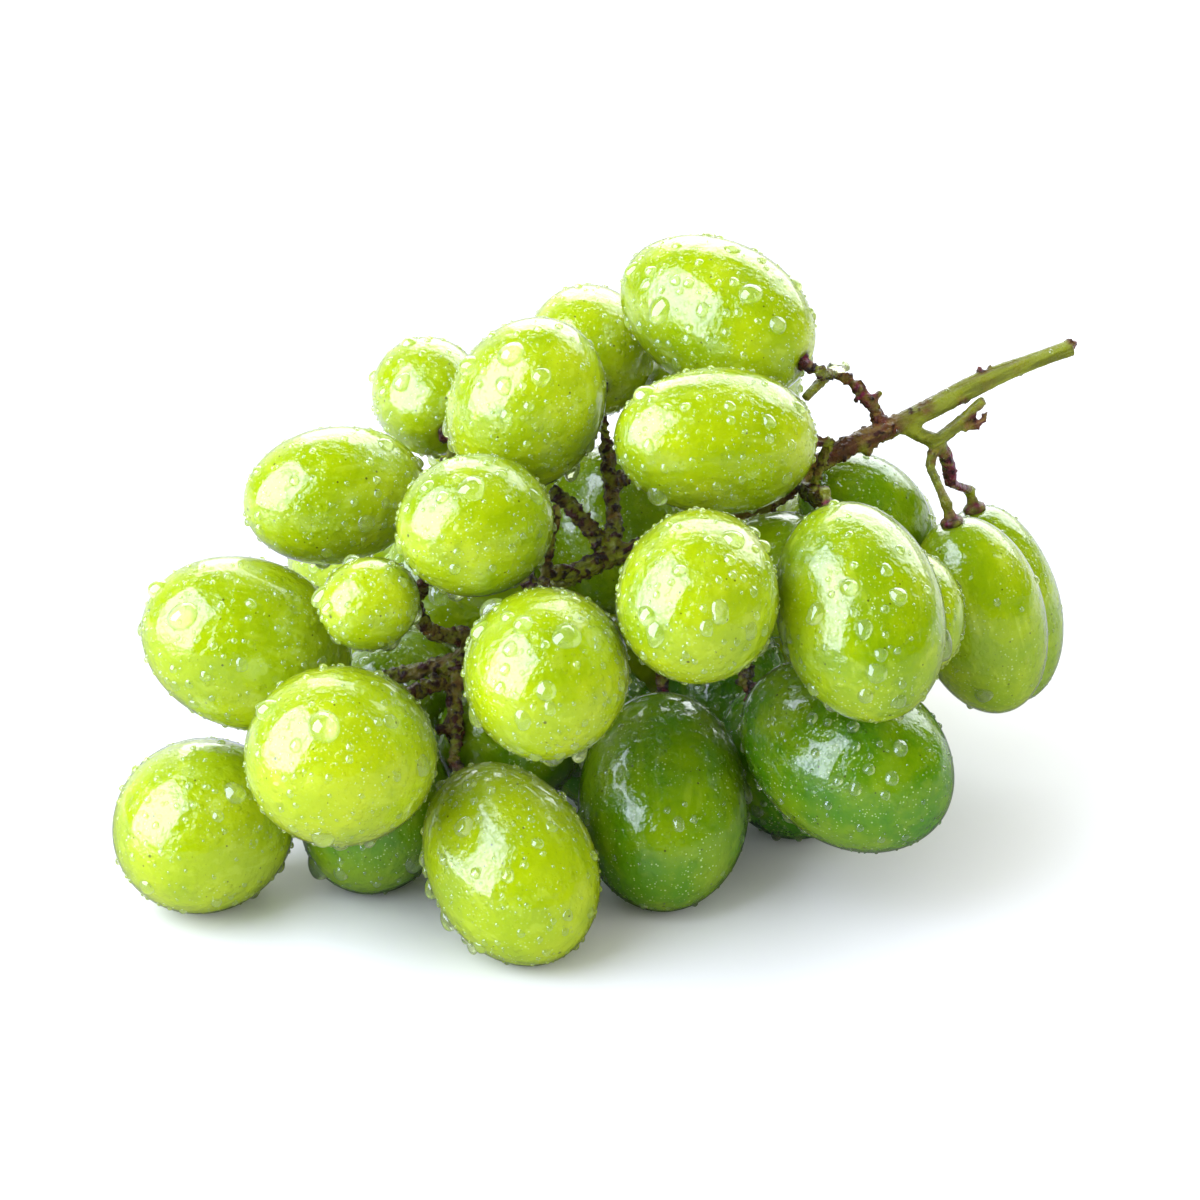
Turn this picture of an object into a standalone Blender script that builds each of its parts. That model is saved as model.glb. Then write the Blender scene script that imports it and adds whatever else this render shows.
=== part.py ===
"""A bunch of green table grapes, cut with its stalk and lying on its side.

Each berry is a solid of its own, and one branching stem carries them all. Places are first given
along a line of sight that looks down on the bunch from in front, as (across, up, depth) in
millimetres from a point in the middle of the bunch, and are then turned to upright axes.
"""

import math

import bmesh
import bpy
import numpy as np
from mathutils import Matrix, Vector

MM = 0.001

# The line of sight that the bunch is laid out along: its slope, its length and its middle's height.
SIGHT_SLOPE = math.radians(25)
SIGHT_LENGTH = 620.0
SIGHT_HEIGHT = 34.5

# A berry's true length is a little over the length that shows, and never near round.
LENGTH_OVER_SEEN = 1.04
LEAST_LENGTH_TO_WIDTH = 1.15
BERRY_SIDES = 16
BERRY_RINGS = 9

# Clear space between neighbours, and how far a berry on the ground is pressed flat.
BERRY_GAP = 0.3
STEM_GAP = 0.5
FLAT_DEPTH = 0.3

# Settling: the share of each push that is taken, and the pull back to the place that was given.
SETTLE_STEPS = 500
FREE_STEPS = 300
PUSH_SHARE = 0.5
HOME_PULL = 0.25
NORMAL_STEPS = 6

# Pedicels: the short stalks of the berries, thin with a swollen end against the berry.
PEDICEL_RADIUS = 0.65
PEDICEL_NECK_RADIUS = 0.8
RECEPTACLE_RADIUS = 1.5
RECEPTACLE_LENGTH = 0.8
RECEPTACLE_GAP = 0.35
PEDICEL_SPACING = 2.6
ROOT_DEPTH = 0.3
ROOT_RADIUS = 0.5

# A pedicel's way to its stem: longer than the straight line, leaving along the berry's axis,
# bowed one way or another, then pushed off the berries and eased between its neighbours.
RUN_OVER_SPAN = 1.15
LEAVING_SHARE = 1.4
LEAVING_REACH = 2.0
BOW = 5.0
ROUTE_STEPS = 140
LAST_STEPS = 35
ROUTE_PUSH = 0.6
ROUTE_EASE = 0.35
LAST_PUSH = 0.8
ROUTE_CHOICES = 10
SHORT_COST = 200.0
ENOUGH_CLEAR = 0.15

# The stem's own make: how round its tubes are, how far apart its rings and how eased its bends.
TUBE_RESOLUTION = 1
AXIS_RESOLUTION = 2
STEM_SPACING = 3.0
AXIS_EASING = 2
BRANCH_EASING = 1
WELD = 0.01 * MM

# Edges that turn by more than this stay sharp.
SHARP_ANGLE = math.radians(50)

# How freely a berry gives way (across, up, depth): in full view, partly seen, and hidden.
SEEN = (0.01, 0.01, 0.15)
PARTLY = (0.08, 0.08, 0.8)
HIDDEN = (0.12, 0.12, 1.0)
GROUND = None
NEARER = -1
FURTHER = 1

# Berries in view: across, up, depth (or GROUND), half-length as seen, half-width, heading of the
# tip in degrees, whether the tip or the stem end is the nearer, and how freely it gives way.
OUTER_BERRIES = (
    ((14.6, 35.4, 3.0), 13.1, 9.7, 150, FURTHER, SEEN),
    ((14.5, 19.9, -12.0), 12.9, 9.5, 180, NEARER, SEEN),
    ((-9.1, 24.4, -6.0), 11.3, 9.8, 60, NEARER, SEEN),
    ((-1.3, 31.2, 14.0), 8.6, 8.2, 100, FURTHER, SEEN),
    ((-21.3, 25.4, 10.0), 7.8, 7.3, 120, FURTHER, SEEN),
    ((-33.1, 13.1, -3.0), 11.5, 8.8, 190, NEARER, SEEN),
    ((-15.6, 9.4, -20.0), 10.0, 9.1, 190, NEARER, SEEN),
    ((-28.8, -0.4, -19.0), 6.5, 6.0, 200, NEARER, SEEN),
    ((-44.1, -5.5, -8.0), 13.4, 10.8, 160, NEARER, SEEN),
    ((-32.3, -19.5, -24.0), 12.2, 11.6, 180, NEARER, SEEN),
    ((-48.5, -27.9, GROUND), 11.5, 11.0, 210, NEARER, SEEN),
    ((-28.5, -26.5, GROUND), 10.8, 9.6, 250, FURTHER, SEEN),
    ((-11.8, -31.9, GROUND), 13.4, 10.6, -60, NEARER, SEEN),
    ((-6.5, -9.1, -27.0), 11.0, 10.6, -90, NEARER, SEEN),
    ((12.5, 0.4, -26.0), 11.2, 10.4, -100, NEARER, SEEN),
    ((7.9, -25.1, GROUND), 13.8, 10.9, -90, NEARER, SEEN),
    ((31.9, -1.6, -21.0), 14.1, 10.6, -75, NEARER, SEEN),
    ((30.8, -19.0, -8.0), 14.4, 11.3, -35, NEARER, SEEN),
    ((23.1, -22.4, GROUND), 10.6, 9.4, -60, FURTHER, PARTLY),
    ((47.1, -1.8, 9.0), 12.8, 8.4, -72, FURTHER, SEEN),
    ((49.8, -0.4, 26.5), 12.8, 7.8, -74, FURTHER, SEEN),
    ((33.3, 11.0, 10.0), 9.0, 7.0, -30, FURTHER, SEEN),
    ((36.0, -3.0, -5.0), 8.2, 7.2, -75, NEARER, PARTLY),
)

# Berries behind these: across, up, depth, half-length, half-width, and how freely each gives way.
# Their tips point away from the stem that is nearest.
INNER_BERRIES = (
    ((23.6, 3.8, 4.0), 9.5, 8.1, PARTLY),
    ((2.0, 10.0, 17.0), 11.5, 9.6, PARTLY),
    ((-25.0, -10.0, 8.0), 9.4, 7.6, PARTLY),
    ((-18.0, 0.0, 15.0), 11.0, 8.8, PARTLY),
    ((-1.0, -17.5, 12.0), 10.8, 8.8, PARTLY),
    ((17.0, -14.5, 20.0), 11.0, 8.9, PARTLY),
    ((-13.0, -17.5, 2.0), 10.4, 8.4, PARTLY),
    ((-33.0, -14.0, 22.0), 11.6, 9.5, HIDDEN),
    ((-14.0, -5.0, 36.0), 11.6, 9.5, HIDDEN),
    ((5.0, -8.0, 41.0), 11.5, 9.4, HIDDEN),
    ((31.0, -9.0, 38.0), 11.7, 9.6, HIDDEN),
    ((-30.0, 6.0, 24.0), 12.0, 9.8, HIDDEN),
    ((-9.0, 10.0, 31.0), 11.6, 9.6, HIDDEN),
    ((15.0, 11.0, 36.0), 12.6, 10.4, HIDDEN),
    ((32.0, 7.0, 26.0), 12.0, 9.9, HIDDEN),
    ((15.0, 26.5, 22.0), 11.6, 9.6, HIDDEN),
    ((-13.0, 23.5, 26.0), 10.6, 8.8, HIDDEN),
)

# The stalk that the bunch was cut by and the axis that it runs on as: a point and its radius.
AXIS = (
    ((59.8, 32.0, 8.0), 1.15),
    ((58.6, 31.5, 8.0), 0.95),
    ((54.0, 30.0, 7.8), 1.1),
    ((49.6, 28.3, 7.4), 1.4),
    ((47.6, 27.4, 7.2), 1.65),
    ((43.0, 24.8, 6.4), 1.45),
    ((38.2, 22.3, 5.4), 1.35),
    ((35.0, 21.1, 4.6), 1.6),
    ((27.8, 17.8, 2.4), 1.3),
    ((21.2, 11.6, 1.2), 1.2),
    ((12.0, 8.4, 1.6), 1.2),
    ((1.3, 5.6, 0.0), 1.35),
    ((-7.5, 1.0, 1.0), 1.15),
    ((-16.2, -4.4, 0.0), 1.15),
    ((-18.8, -10.0, -1.0), 1.1),
    ((-17.8, -16.5, -3.5), 1.0),
)

# Side branches, each from a point on the axis or on a branch before it.
BRANCHES = (
    (((35.6, 21.8, 4.8), 1.1), ((34.4, 25.0, 4.4), 0.9), ((32.4, 27.6, 4.0), 0.85), ((29.6, 28.4, 3.6), 0.7)),
    (((38.2, 22.0, 5.4), 1.1), ((40.4, 20.6, 5.8), 0.95), ((42.5, 20.0, 6.2), 1.05)),
    (((42.5, 20.0, 6.2), 1.0), ((45.4, 22.2, 6.0), 0.9), ((48.4, 25.2, 5.6), 0.8)),
    (((42.5, 20.0, 6.2), 0.9), ((41.6, 17.0, 6.2), 0.7)),
    (((42.5, 20.0, 6.2), 1.05), ((44.3, 18.0, 8.4), 1.0), ((44.7, 14.8, 12.0), 0.95)),
    (((1.3, 5.6, 0.0), 1.3), ((2.1, 9.0, 0.0), 1.15), ((1.3, 14.0, 2.0), 1.1), ((0.8, 20.0, 5.0), 1.0)),
    (((0.6, 6.2, 0.0), 1.2), ((-3.1, 11.6, -1.0), 1.1), ((-6.0, 13.8, -1.0), 1.0)),
    (((1.3, 5.6, 0.0), 1.3), ((-2.0, 3.4, -3.5), 1.25), ((-6.9, 3.4, -6.5), 1.15)),
    (((9.0, 7.6, 1.2), 1.1), ((10.6, 7.4, -4.0), 1.0), ((12.4, 7.8, -8.0), 0.95)),
    (((24.8, 14.8, 1.6), 1.1), ((25.8, 13.6, -3.0), 1.0), ((27.0, 12.6, -6.5), 0.95)),
    (((26.0, 13.3, -3.6), 1.0), ((29.5, 10.0, -5.0), 0.95), ((32.5, 7.0, -5.0), 0.9)),
    (((34.2, 20.6, 4.4), 0.95), ((33.6, 18.2, 3.8), 0.7)),
    (((-7.5, 1.0, 1.0), 1.2), ((-13.5, 6.0, 4.0), 1.1), ((-18.5, 11.0, 4.0), 1.05), ((-20.5, 15, 3), 1.0)),
    (((-18.0, 10.5, 4.0), 1.0), ((-22.0, 11.0, 10.0), 1.0), ((-24.0, 10.5, 16.0), 0.95)),
    (((-16.2, -4.4, 0.0), 1.2), ((-20.2, -4.8, -3.0), 1.1), ((-23.0, -1.6, -7.0), 1.0)),
    (((-17.6, -7.4, -0.5), 1.2), ((-22.5, -9, 0), 1.15), ((-28, -9.6, 1.5), 1.1), ((-33.0, -13.5, 5.5), 1.0)),
    (((-18.8, -10.0, -1.0), 1.1), ((-21.3, -10.6, -4.0), 1.05), ((-24.4, -12.0, -7.5), 1.0)),
    (((6.0, 6.8, 0.8), 1.2), ((5.8, 0.5, 2.5), 1.1), ((6.6, -6.0, 3.5), 1.0)),
    (((15.0, 9.4, 1.5), 1.2), ((15.2, 3.0, 3.0), 1.1), ((16.8, -4.5, 3.5), 1.05), ((18.8, -9.0, 3.5), 1.0)),
    (((12.0, 8.4, 1.6), 1.2), ((13.5, 6.4, 8.0), 1.1), ((14.5, 3.0, 14.0), 1.05), ((17.0, 0.0, 19.0), 1.0)),
    (((16.4, 0.8, 18.0), 1.0), ((17.2, 0.6, 22.0), 0.95), ((16.5, 1.0, 26.0), 0.9)),
    (((-7.5, 1.0, 1.0), 1.2), ((-7.6, -1.6, 8.0), 1.1), ((-8.6, -4.0, 15.0), 1.0)),
    (((1.3, 14.0, 2.0), 1.0), ((5.0, 17.0, 8.0), 1.0), ((4.0, 19.0, 14.0), 0.95)),
)

BERRY_GREEN = (0.36, 0.5, 0.03)
BERRY_ROUGHNESS = 0.15
STEM_GREEN = (0.2, 0.19, 0.03)
STEM_ROUGHNESS = 0.7


class Berry:
    """A solid of rotation, its long axis running from its stem end to its tip."""

    def __init__(self, place, axis, radii, give, on_ground=False):
        self.home = np.array(place)
        self.axis = np.array(axis)
        self.radii = radii
        self.spread = spread_of(self.axis, radii)
        self.on_ground = on_ground
        self.give = np.diag(give)
        if on_ground:
            self.give = give[0] * np.outer(ACROSS, ACROSS) + give[1] * np.outer(LEVEL, LEVEL)


def outer_berry(place, seen, width, heading, lean, give):
    """A berry by how it shows: one that shows short leans along the line of sight."""
    length = max(LENGTH_OVER_SEEN * seen, LEAST_LENGTH_TO_WIDTH * width)
    in_plane = math.sqrt((seen**2 - width**2) / (length**2 - width**2))
    turn = math.radians(heading)
    axis = (
        in_plane * math.cos(turn),
        in_plane * math.sin(turn),
        lean * math.sqrt(1 - in_plane**2),
    )
    across, up, depth = place
    on_ground = depth is GROUND
    if on_ground:
        depth = depth_on_ground(up, spread_of(np.array(axis), (length, width)))
    scale = 1 + depth / SIGHT_LENGTH
    radii = (length * scale, width * scale)
    return Berry((across * scale, up * scale, depth), axis, radii, give, on_ground)


def inner_berry(place, length, width, give, stem_points):
    """A berry that hangs outward from the nearest stem."""
    place = np.array(place)
    outward = place - stem_points[np.linalg.norm(stem_points - place, axis=1).argmin()]
    return Berry(place, unit(outward), (length, width), give)


def spread_of(axis, radii):
    """The matrix S for which sqrt(n.S.n) is how far the solid reaches along n."""
    length, width = radii
    return width**2 * np.eye(3) + (length**2 - width**2) * np.outer(axis, axis)


# Straight up, and level away from in front, as they lie along the line of sight.
UPRIGHT = np.array((0.0, math.cos(SIGHT_SLOPE), -math.sin(SIGHT_SLOPE)))
LEVEL = np.array((0.0, math.sin(SIGHT_SLOPE), math.cos(SIGHT_SLOPE)))
ACROSS = np.array((1.0, 0.0, 0.0))


def reach_of(spread, direction):
    return math.sqrt(direction @ spread @ direction)


def depth_on_ground(up, spread):
    """How deep a berry lies that rests on the ground and shows at this height."""
    rise = reach_of(spread, UPRIGHT) - FLAT_DEPTH
    return (up * UPRIGHT[1] + SIGHT_HEIGHT - rise) / -UPRIGHT[2]


def lowest_point(berry):
    return berry.centre @ UPRIGHT + SIGHT_HEIGHT - reach_of(berry.spread, UPRIGHT)


def unit(vectors):
    return vectors / np.linalg.norm(vectors, axis=-1, keepdims=True)


def gaps_between(offsets, first, second):
    """The gap of each pair of berries, under 0 where they overlap, and the way that it lies."""
    normals = unit(offsets)
    for _ in range(NORMAL_STEPS):
        pulls = [np.einsum("pij,pj->pi", spread, normals) for spread in (first, second)]
        reaches = [np.sqrt((pull * normals).sum(axis=1)) for pull in pulls]
        slope = offsets - sum(pull / reach[:, None] for pull, reach in zip(pulls, reaches))
        slope -= (slope * normals).sum(axis=1)[:, None] * normals
        normals = unit(normals + slope / np.linalg.norm(offsets, axis=1)[:, None])
    return (offsets * normals).sum(axis=1) - sum(reaches), normals


def distances_to(points, centres, inverses):
    """Each point's distance from each berry's skin, and the way out of the berry there."""
    offsets = points[:, None, :] - centres[None, :, :]
    pulls = np.einsum("bij,pbj->pbi", inverses, offsets)
    level = np.sqrt(np.maximum((pulls * offsets).sum(axis=2), 1e-6))
    slope = np.linalg.norm(pulls, axis=2)
    return (level - 1) * level / slope, pulls / slope[:, :, None]


def resolve(short, normals, give, other_give):
    """The part of each overlap's push that one side takes, by how freely the two sides give."""
    own = np.einsum("pij,pj->pi", give, normals)
    ease = np.einsum("pij,pi,pj->p", give + other_give, normals, normals)
    return own * (short / ease)[:, None]


def settle(berries, stem_points, stem_radii):
    """Pushes the berries apart, off the stems and up from the ground, by how freely each gives."""
    centres = np.array([berry.home for berry in berries])
    homes = centres.copy()
    spreads = np.array([berry.spread for berry in berries])
    inverses = np.linalg.inv(spreads)
    gives = np.array([berry.give for berry in berries])
    pulls = HOME_PULL * SEEN[0] / gives[:, 0, 0]
    rises = np.array([reach_of(spread, UPRIGHT) for spread in spreads])
    grounded = np.array([berry.on_ground for berry in berries])
    first, second = np.triu_indices(len(berries), 1)
    rows = np.arange(len(berries))
    for step in range(SETTLE_STEPS + FREE_STEPS):
        gap, normals = gaps_between(
            centres[second] - centres[first], spreads[first], spreads[second]
        )
        short = PUSH_SHARE * np.maximum(BERRY_GAP - gap, 0)
        push = np.zeros_like(centres)
        np.add.at(push, first, -resolve(short, normals, gives[first], gives[second]))
        np.add.at(push, second, resolve(short, normals, gives[second], gives[first]))
        away, outward = distances_to(stem_points, centres, inverses)
        into = np.maximum(STEM_GAP + stem_radii[:, None] - away, 0)
        deepest = into.argmax(axis=0)
        short = PUSH_SHARE * into[deepest, rows]
        push -= resolve(short, outward[deepest, rows], gives, 0.0)
        if step < SETTLE_STEPS:
            push += pulls[:, None] * (homes - centres)
        centres += push
        heights = centres @ UPRIGHT + SIGHT_HEIGHT - rises
        lift = -FLAT_DEPTH - heights
        lift = np.where(grounded, lift, np.maximum(lift, 0))
        centres += lift[:, None] * UPRIGHT
    for berry, centre in zip(berries, centres):
        berry.centre = centre


def resampled(points, spacing):
    """The same line with even steps of about this spacing, as (point, radius) rows."""
    rows = np.array([(*place, radius) for place, radius in points])
    steps = np.linalg.norm(np.diff(rows[:, :3], axis=0), axis=1)
    along = np.concatenate(([0], np.cumsum(steps)))
    count = max(2, round(along[-1] / spacing)) + 1
    return np.stack(
        [np.interp(np.linspace(0, along[-1], count), along, column) for column in rows.T],
        axis=1,
    )


def smoothed(rows, rounds):
    """Rows with their corners eased and their ends kept."""
    for _ in range(rounds):
        rows = rows.copy()
        rows[1:-1] = (rows[:-2] + 2 * rows[1:-1] + rows[2:]) / 4
    return rows


def stem_lines():
    """The axis and the branches as rows of across, up, depth and radius."""
    lines = [smoothed(resampled(AXIS, STEM_SPACING), AXIS_EASING)]
    for branch in BRANCHES:
        lines.append(smoothed(resampled(branch, STEM_SPACING), BRANCH_EASING))
    return lines


def clear_of(points, radii, centres, inverses):
    """How far each point of a pedicel lies too near a berry, and the push that frees it."""
    away, outward = distances_to(points, centres, inverses)
    short = np.maximum(radii[:, None] + STEM_GAP - away, 0)
    return short.max(axis=1), (short[:, :, None] * outward).sum(axis=1)


def routed(start, leaving, end, bow, centres, inverses):
    """A line from a berry's stem end to a stem, bowed one way and then bent clear of the berries."""
    span = np.linalg.norm(end - start)
    count = max(5, round(span * RUN_OVER_SPAN / PEDICEL_SPACING) + 1)
    share = np.linspace(0, 1, count)[:, None]
    points = start * (1 - share) + end * share
    points += leaving * span * LEAVING_SHARE * share * (1 - share) ** 2
    points += bow * 4 * share * (1 - share)
    radii = np.full(count, PEDICEL_RADIUS)
    for _ in range(ROUTE_STEPS):
        _, push = clear_of(points, radii, centres, inverses)
        moved = points + ROUTE_PUSH * push
        moved[1:-1] += ROUTE_EASE * ((points[:-2] + points[2:]) / 2 - points[1:-1])
        points[1:-1] = moved[1:-1]
        points[1] = start + leaving * LEAVING_REACH
    for _ in range(LAST_STEPS):
        _, push = clear_of(points, radii, centres, inverses)
        points[2:-1] += LAST_PUSH * push[2:-1]
    short, _ = clear_of(points[1:-1], radii[1:-1], centres, inverses)
    length = np.linalg.norm(np.diff(points, axis=0), axis=1).sum()
    return points, length, short.max()


def pedicel(berry, berries, stem_points):
    """The stalk of one berry, as rows of across, up, depth and radius, its root sunk in a stem."""
    centres = np.array([other.centre for other in berries])
    inverses = np.linalg.inv(np.array([other.spread for other in berries]))
    start = berry.centre - berry.axis * (berry.radii[0] + RECEPTACLE_GAP)
    reach = np.linalg.norm(stem_points - (start - LEAVING_REACH * berry.axis), axis=1)
    side = unit(np.cross(berry.axis, UPRIGHT))
    bows = [np.zeros(3), *(BOW * way for way in (side, -side, UPRIGHT, -UPRIGHT))]
    best = None
    for bow in bows:
        for choice in np.argsort(reach)[:ROUTE_CHOICES]:
            points, run, short = routed(
                start, -berry.axis, stem_points[choice], bow, centres, inverses
            )
            cost = run + SHORT_COST * short
            if best is None or cost < best[0]:
                best = (cost, points, short)
        if best[2] < ENOUGH_CLEAR:
            break
    points = best[1]
    radii = np.full(len(points), PEDICEL_RADIUS)
    radii[1] = PEDICEL_NECK_RADIUS
    rows = np.column_stack((points, radii))
    root = np.append(points[-1] + ROOT_DEPTH * unit(points[-1] - points[-2]), ROOT_RADIUS)
    berry_face = np.append(start, RECEPTACLE_RADIUS)
    collar = np.append(start - RECEPTACLE_LENGTH * berry.axis, RECEPTACLE_RADIUS)
    return np.vstack((berry_face, collar, rows[1:], root))


def settled_berries(lines):
    """Every berry in the place that it settles in round these stems."""
    samples = np.vstack(lines)
    berries = [outer_berry(*row) for row in OUTER_BERRIES]
    berries += [inner_berry(*row, samples[:, :3]) for row in INNER_BERRIES]
    settle(berries, samples[:, :3], samples[:, 3])
    return berries


def pedicels_of(berries, lines):
    samples = np.vstack(lines)
    return [pedicel(berry, berries, samples[:, :3]) for berry in berries]


# Upright axes from the line of sight's across, up and depth.
UPRIGHT_FROM_SIGHT = np.array(
    (
        (1.0, 0.0, 0.0),
        (0.0, math.sin(SIGHT_SLOPE), math.cos(SIGHT_SLOPE)),
        (0.0, math.cos(SIGHT_SLOPE), -math.sin(SIGHT_SLOPE)),
    )
)


def upright(point):
    """A place in metres, +Z up with the ground at 0."""
    return Vector(MM * (UPRIGHT_FROM_SIGHT @ point + (0, 0, SIGHT_HEIGHT)))


def heading_of(direction):
    """The rotation that turns +Z to this direction of the line of sight."""
    return Vector(UPRIGHT_FROM_SIGHT @ direction).to_track_quat("Z", "Y")


def clear_scene():
    for obj in list(bpy.data.objects):
        bpy.data.objects.remove(obj, do_unlink=True)


def new_collection(name):
    collection = bpy.data.collections.new(name)
    bpy.context.scene.collection.children.link(collection)
    return collection


def new_material(name, colour, roughness):
    material = bpy.data.materials.new(name)
    material.use_nodes = True
    shader = material.node_tree.nodes["Principled BSDF"]
    shader.inputs["Base Color"].default_value = (*colour, 1.0)
    shader.inputs["Roughness"].default_value = roughness
    shader.inputs["Metallic"].default_value = 0.0
    return material


def cut_flat_on_ground(mesh, to_world):
    """Takes away what lies under the ground and closes the cut with one flat face."""
    to_local = to_world.inverted()
    ground = to_local @ Vector((0, 0, 0))
    normal = (to_local.to_3x3() @ Vector((0, 0, 1))).normalized()
    everything = mesh.verts[:] + mesh.edges[:] + mesh.faces[:]
    cut = bmesh.ops.bisect_plane(
        mesh, geom=everything, dist=1e-6, plane_co=ground, plane_no=normal, clear_inner=True
    )
    rim = [part for part in cut["geom_cut"] if isinstance(part, bmesh.types.BMEdge)]
    bmesh.ops.contextual_create(mesh, geom=rim)


def make_berry(name, berry, parts, material):
    """One berry: a ball drawn out along +Z, its tip at the top, set down in its place."""
    length, width = berry.radii
    mesh = bmesh.new()
    bmesh.ops.create_uvsphere(mesh, u_segments=BERRY_SIDES, v_segments=BERRY_RINGS, radius=MM)
    bmesh.ops.scale(mesh, vec=(width, width, length), verts=mesh.verts)
    place = Matrix.Translation(upright(berry.centre)) @ heading_of(berry.axis).to_matrix().to_4x4()
    if lowest_point(berry) < 0:
        cut_flat_on_ground(mesh, place)
    bmesh.ops.recalc_face_normals(mesh, faces=mesh.faces)
    data = bpy.data.meshes.new(name)
    mesh.to_mesh(data)
    mesh.free()
    data.shade_smooth()
    data.set_sharp_from_angle(angle=SHARP_ANGLE)
    data.materials.append(material)
    obj = bpy.data.objects.new(name, data)
    obj.matrix_world = place
    parts.objects.link(obj)
    return obj


def tube(name, rows, resolution, collection):
    """A round stem along rows of across, up, depth and radius, as a closed mesh."""
    curve = bpy.data.curves.new(name, "CURVE")
    curve.dimensions = "3D"
    curve.bevel_depth = MM
    curve.bevel_resolution = resolution
    curve.use_fill_caps = True
    spline = curve.splines.new("POLY")
    spline.points.add(len(rows) - 1)
    for point, row in zip(spline.points, rows):
        point.co = (*upright(row[:3]), 1.0)
        point.radius = row[3]
    guide = bpy.data.objects.new(name, curve)
    collection.objects.link(guide)
    graph = bpy.context.evaluated_depsgraph_get()
    data = bpy.data.meshes.new_from_object(guide.evaluated_get(graph))
    place = guide.matrix_world.copy()
    bpy.data.objects.remove(guide, do_unlink=True)
    mesh = bmesh.new()
    mesh.from_mesh(data)
    bmesh.ops.remove_doubles(mesh, verts=mesh.verts, dist=WELD)
    bmesh.ops.recalc_face_normals(mesh, faces=mesh.faces)
    mesh.to_mesh(data)
    mesh.free()
    obj = bpy.data.objects.new(name, data)
    obj.matrix_world = place
    collection.objects.link(obj)
    return obj


def bodies_of(mesh):
    """The mesh's vertices, a set for each body that hangs together."""
    waiting = set(mesh.verts)
    bodies = []
    while waiting:
        body = {waiting.pop()}
        edge = set(body)
        while edge:
            edge = {e.other_vert(v) for v in edge for e in v.link_edges} - body
            body |= edge
        waiting -= body
        bodies.append(body)
    return bodies


def keep_largest_body(data):
    """Drops the crumbs that come loose where a thin tube folds on itself in a tight bend."""
    mesh = bmesh.new()
    mesh.from_mesh(data)
    bodies = sorted(bodies_of(mesh), key=len)
    for crumb in bodies[:-1]:
        bmesh.ops.delete(mesh, geom=list(crumb), context="VERTS")
    mesh.to_mesh(data)
    mesh.free()


def make_stem(lines, pedicels, parts, material):
    """The axis with every branch and pedicel joined to it by one union."""
    joined = new_collection("stem pieces")
    for number, rows in enumerate(lines[1:]):
        tube(f"branch_{number}", rows, TUBE_RESOLUTION, joined)
    for number, rows in enumerate(pedicels):
        tube(f"pedicel_{number}", rows, TUBE_RESOLUTION, joined)
    stem = tube("stem", lines[0], AXIS_RESOLUTION, parts)
    union = stem.modifiers.new("Union", "BOOLEAN")
    union.operation = "UNION"
    union.operand_type = "COLLECTION"
    union.collection = joined
    union.solver = "MANIFOLD"
    graph = bpy.context.evaluated_depsgraph_get()
    data = bpy.data.meshes.new_from_object(stem.evaluated_get(graph))
    stem.modifiers.clear()
    stem.data = data
    for piece in list(joined.objects):
        bpy.data.objects.remove(piece, do_unlink=True)
    bpy.data.collections.remove(joined)
    keep_largest_body(data)
    data.materials.clear()
    data.materials.append(material)
    data.shade_smooth()
    data.set_sharp_from_angle(angle=SHARP_ANGLE)
    return stem


def centre_over_origin(objects):
    """Parents everything to an empty that brings the middle of the box over the origin."""
    corners = [obj.matrix_world @ vertex.co for obj in objects for vertex in obj.data.vertices]
    middle = [(min(c[i] for c in corners) + max(c[i] for c in corners)) / 2 for i in (0, 1)]
    holder = bpy.data.objects.new("bunch_place", None)
    bpy.context.scene.collection.objects.link(holder)
    holder.location = (-middle[0], -middle[1], 0)
    for obj in objects:
        obj.parent = holder


def main():
    clear_scene()
    parts = new_collection("bunch_of_grapes")
    lines = stem_lines()
    berries = settled_berries(lines)
    objects = []
    for number, berry in enumerate(berries, 1):
        name = f"berry_{number:02d}"
        skin = new_material(f"{name}_skin", BERRY_GREEN, BERRY_ROUGHNESS)
        objects.append(make_berry(name, berry, parts, skin))
    bark = new_material("stem_bark", STEM_GREEN, STEM_ROUGHNESS)
    objects.append(make_stem(lines, pedicels_of(berries, lines), parts, bark))
    centre_over_origin(objects)


if __name__ == "__main__":
    main()
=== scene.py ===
"""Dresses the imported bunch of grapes: wet translucent skins, crusted stalks and clear drops of water."""

import math

import bmesh
import bpy
import numpy as np
from bpy.props import FloatProperty, FloatVectorProperty, IntProperty, PointerProperty
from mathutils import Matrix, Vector, kdtree, noise


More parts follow.
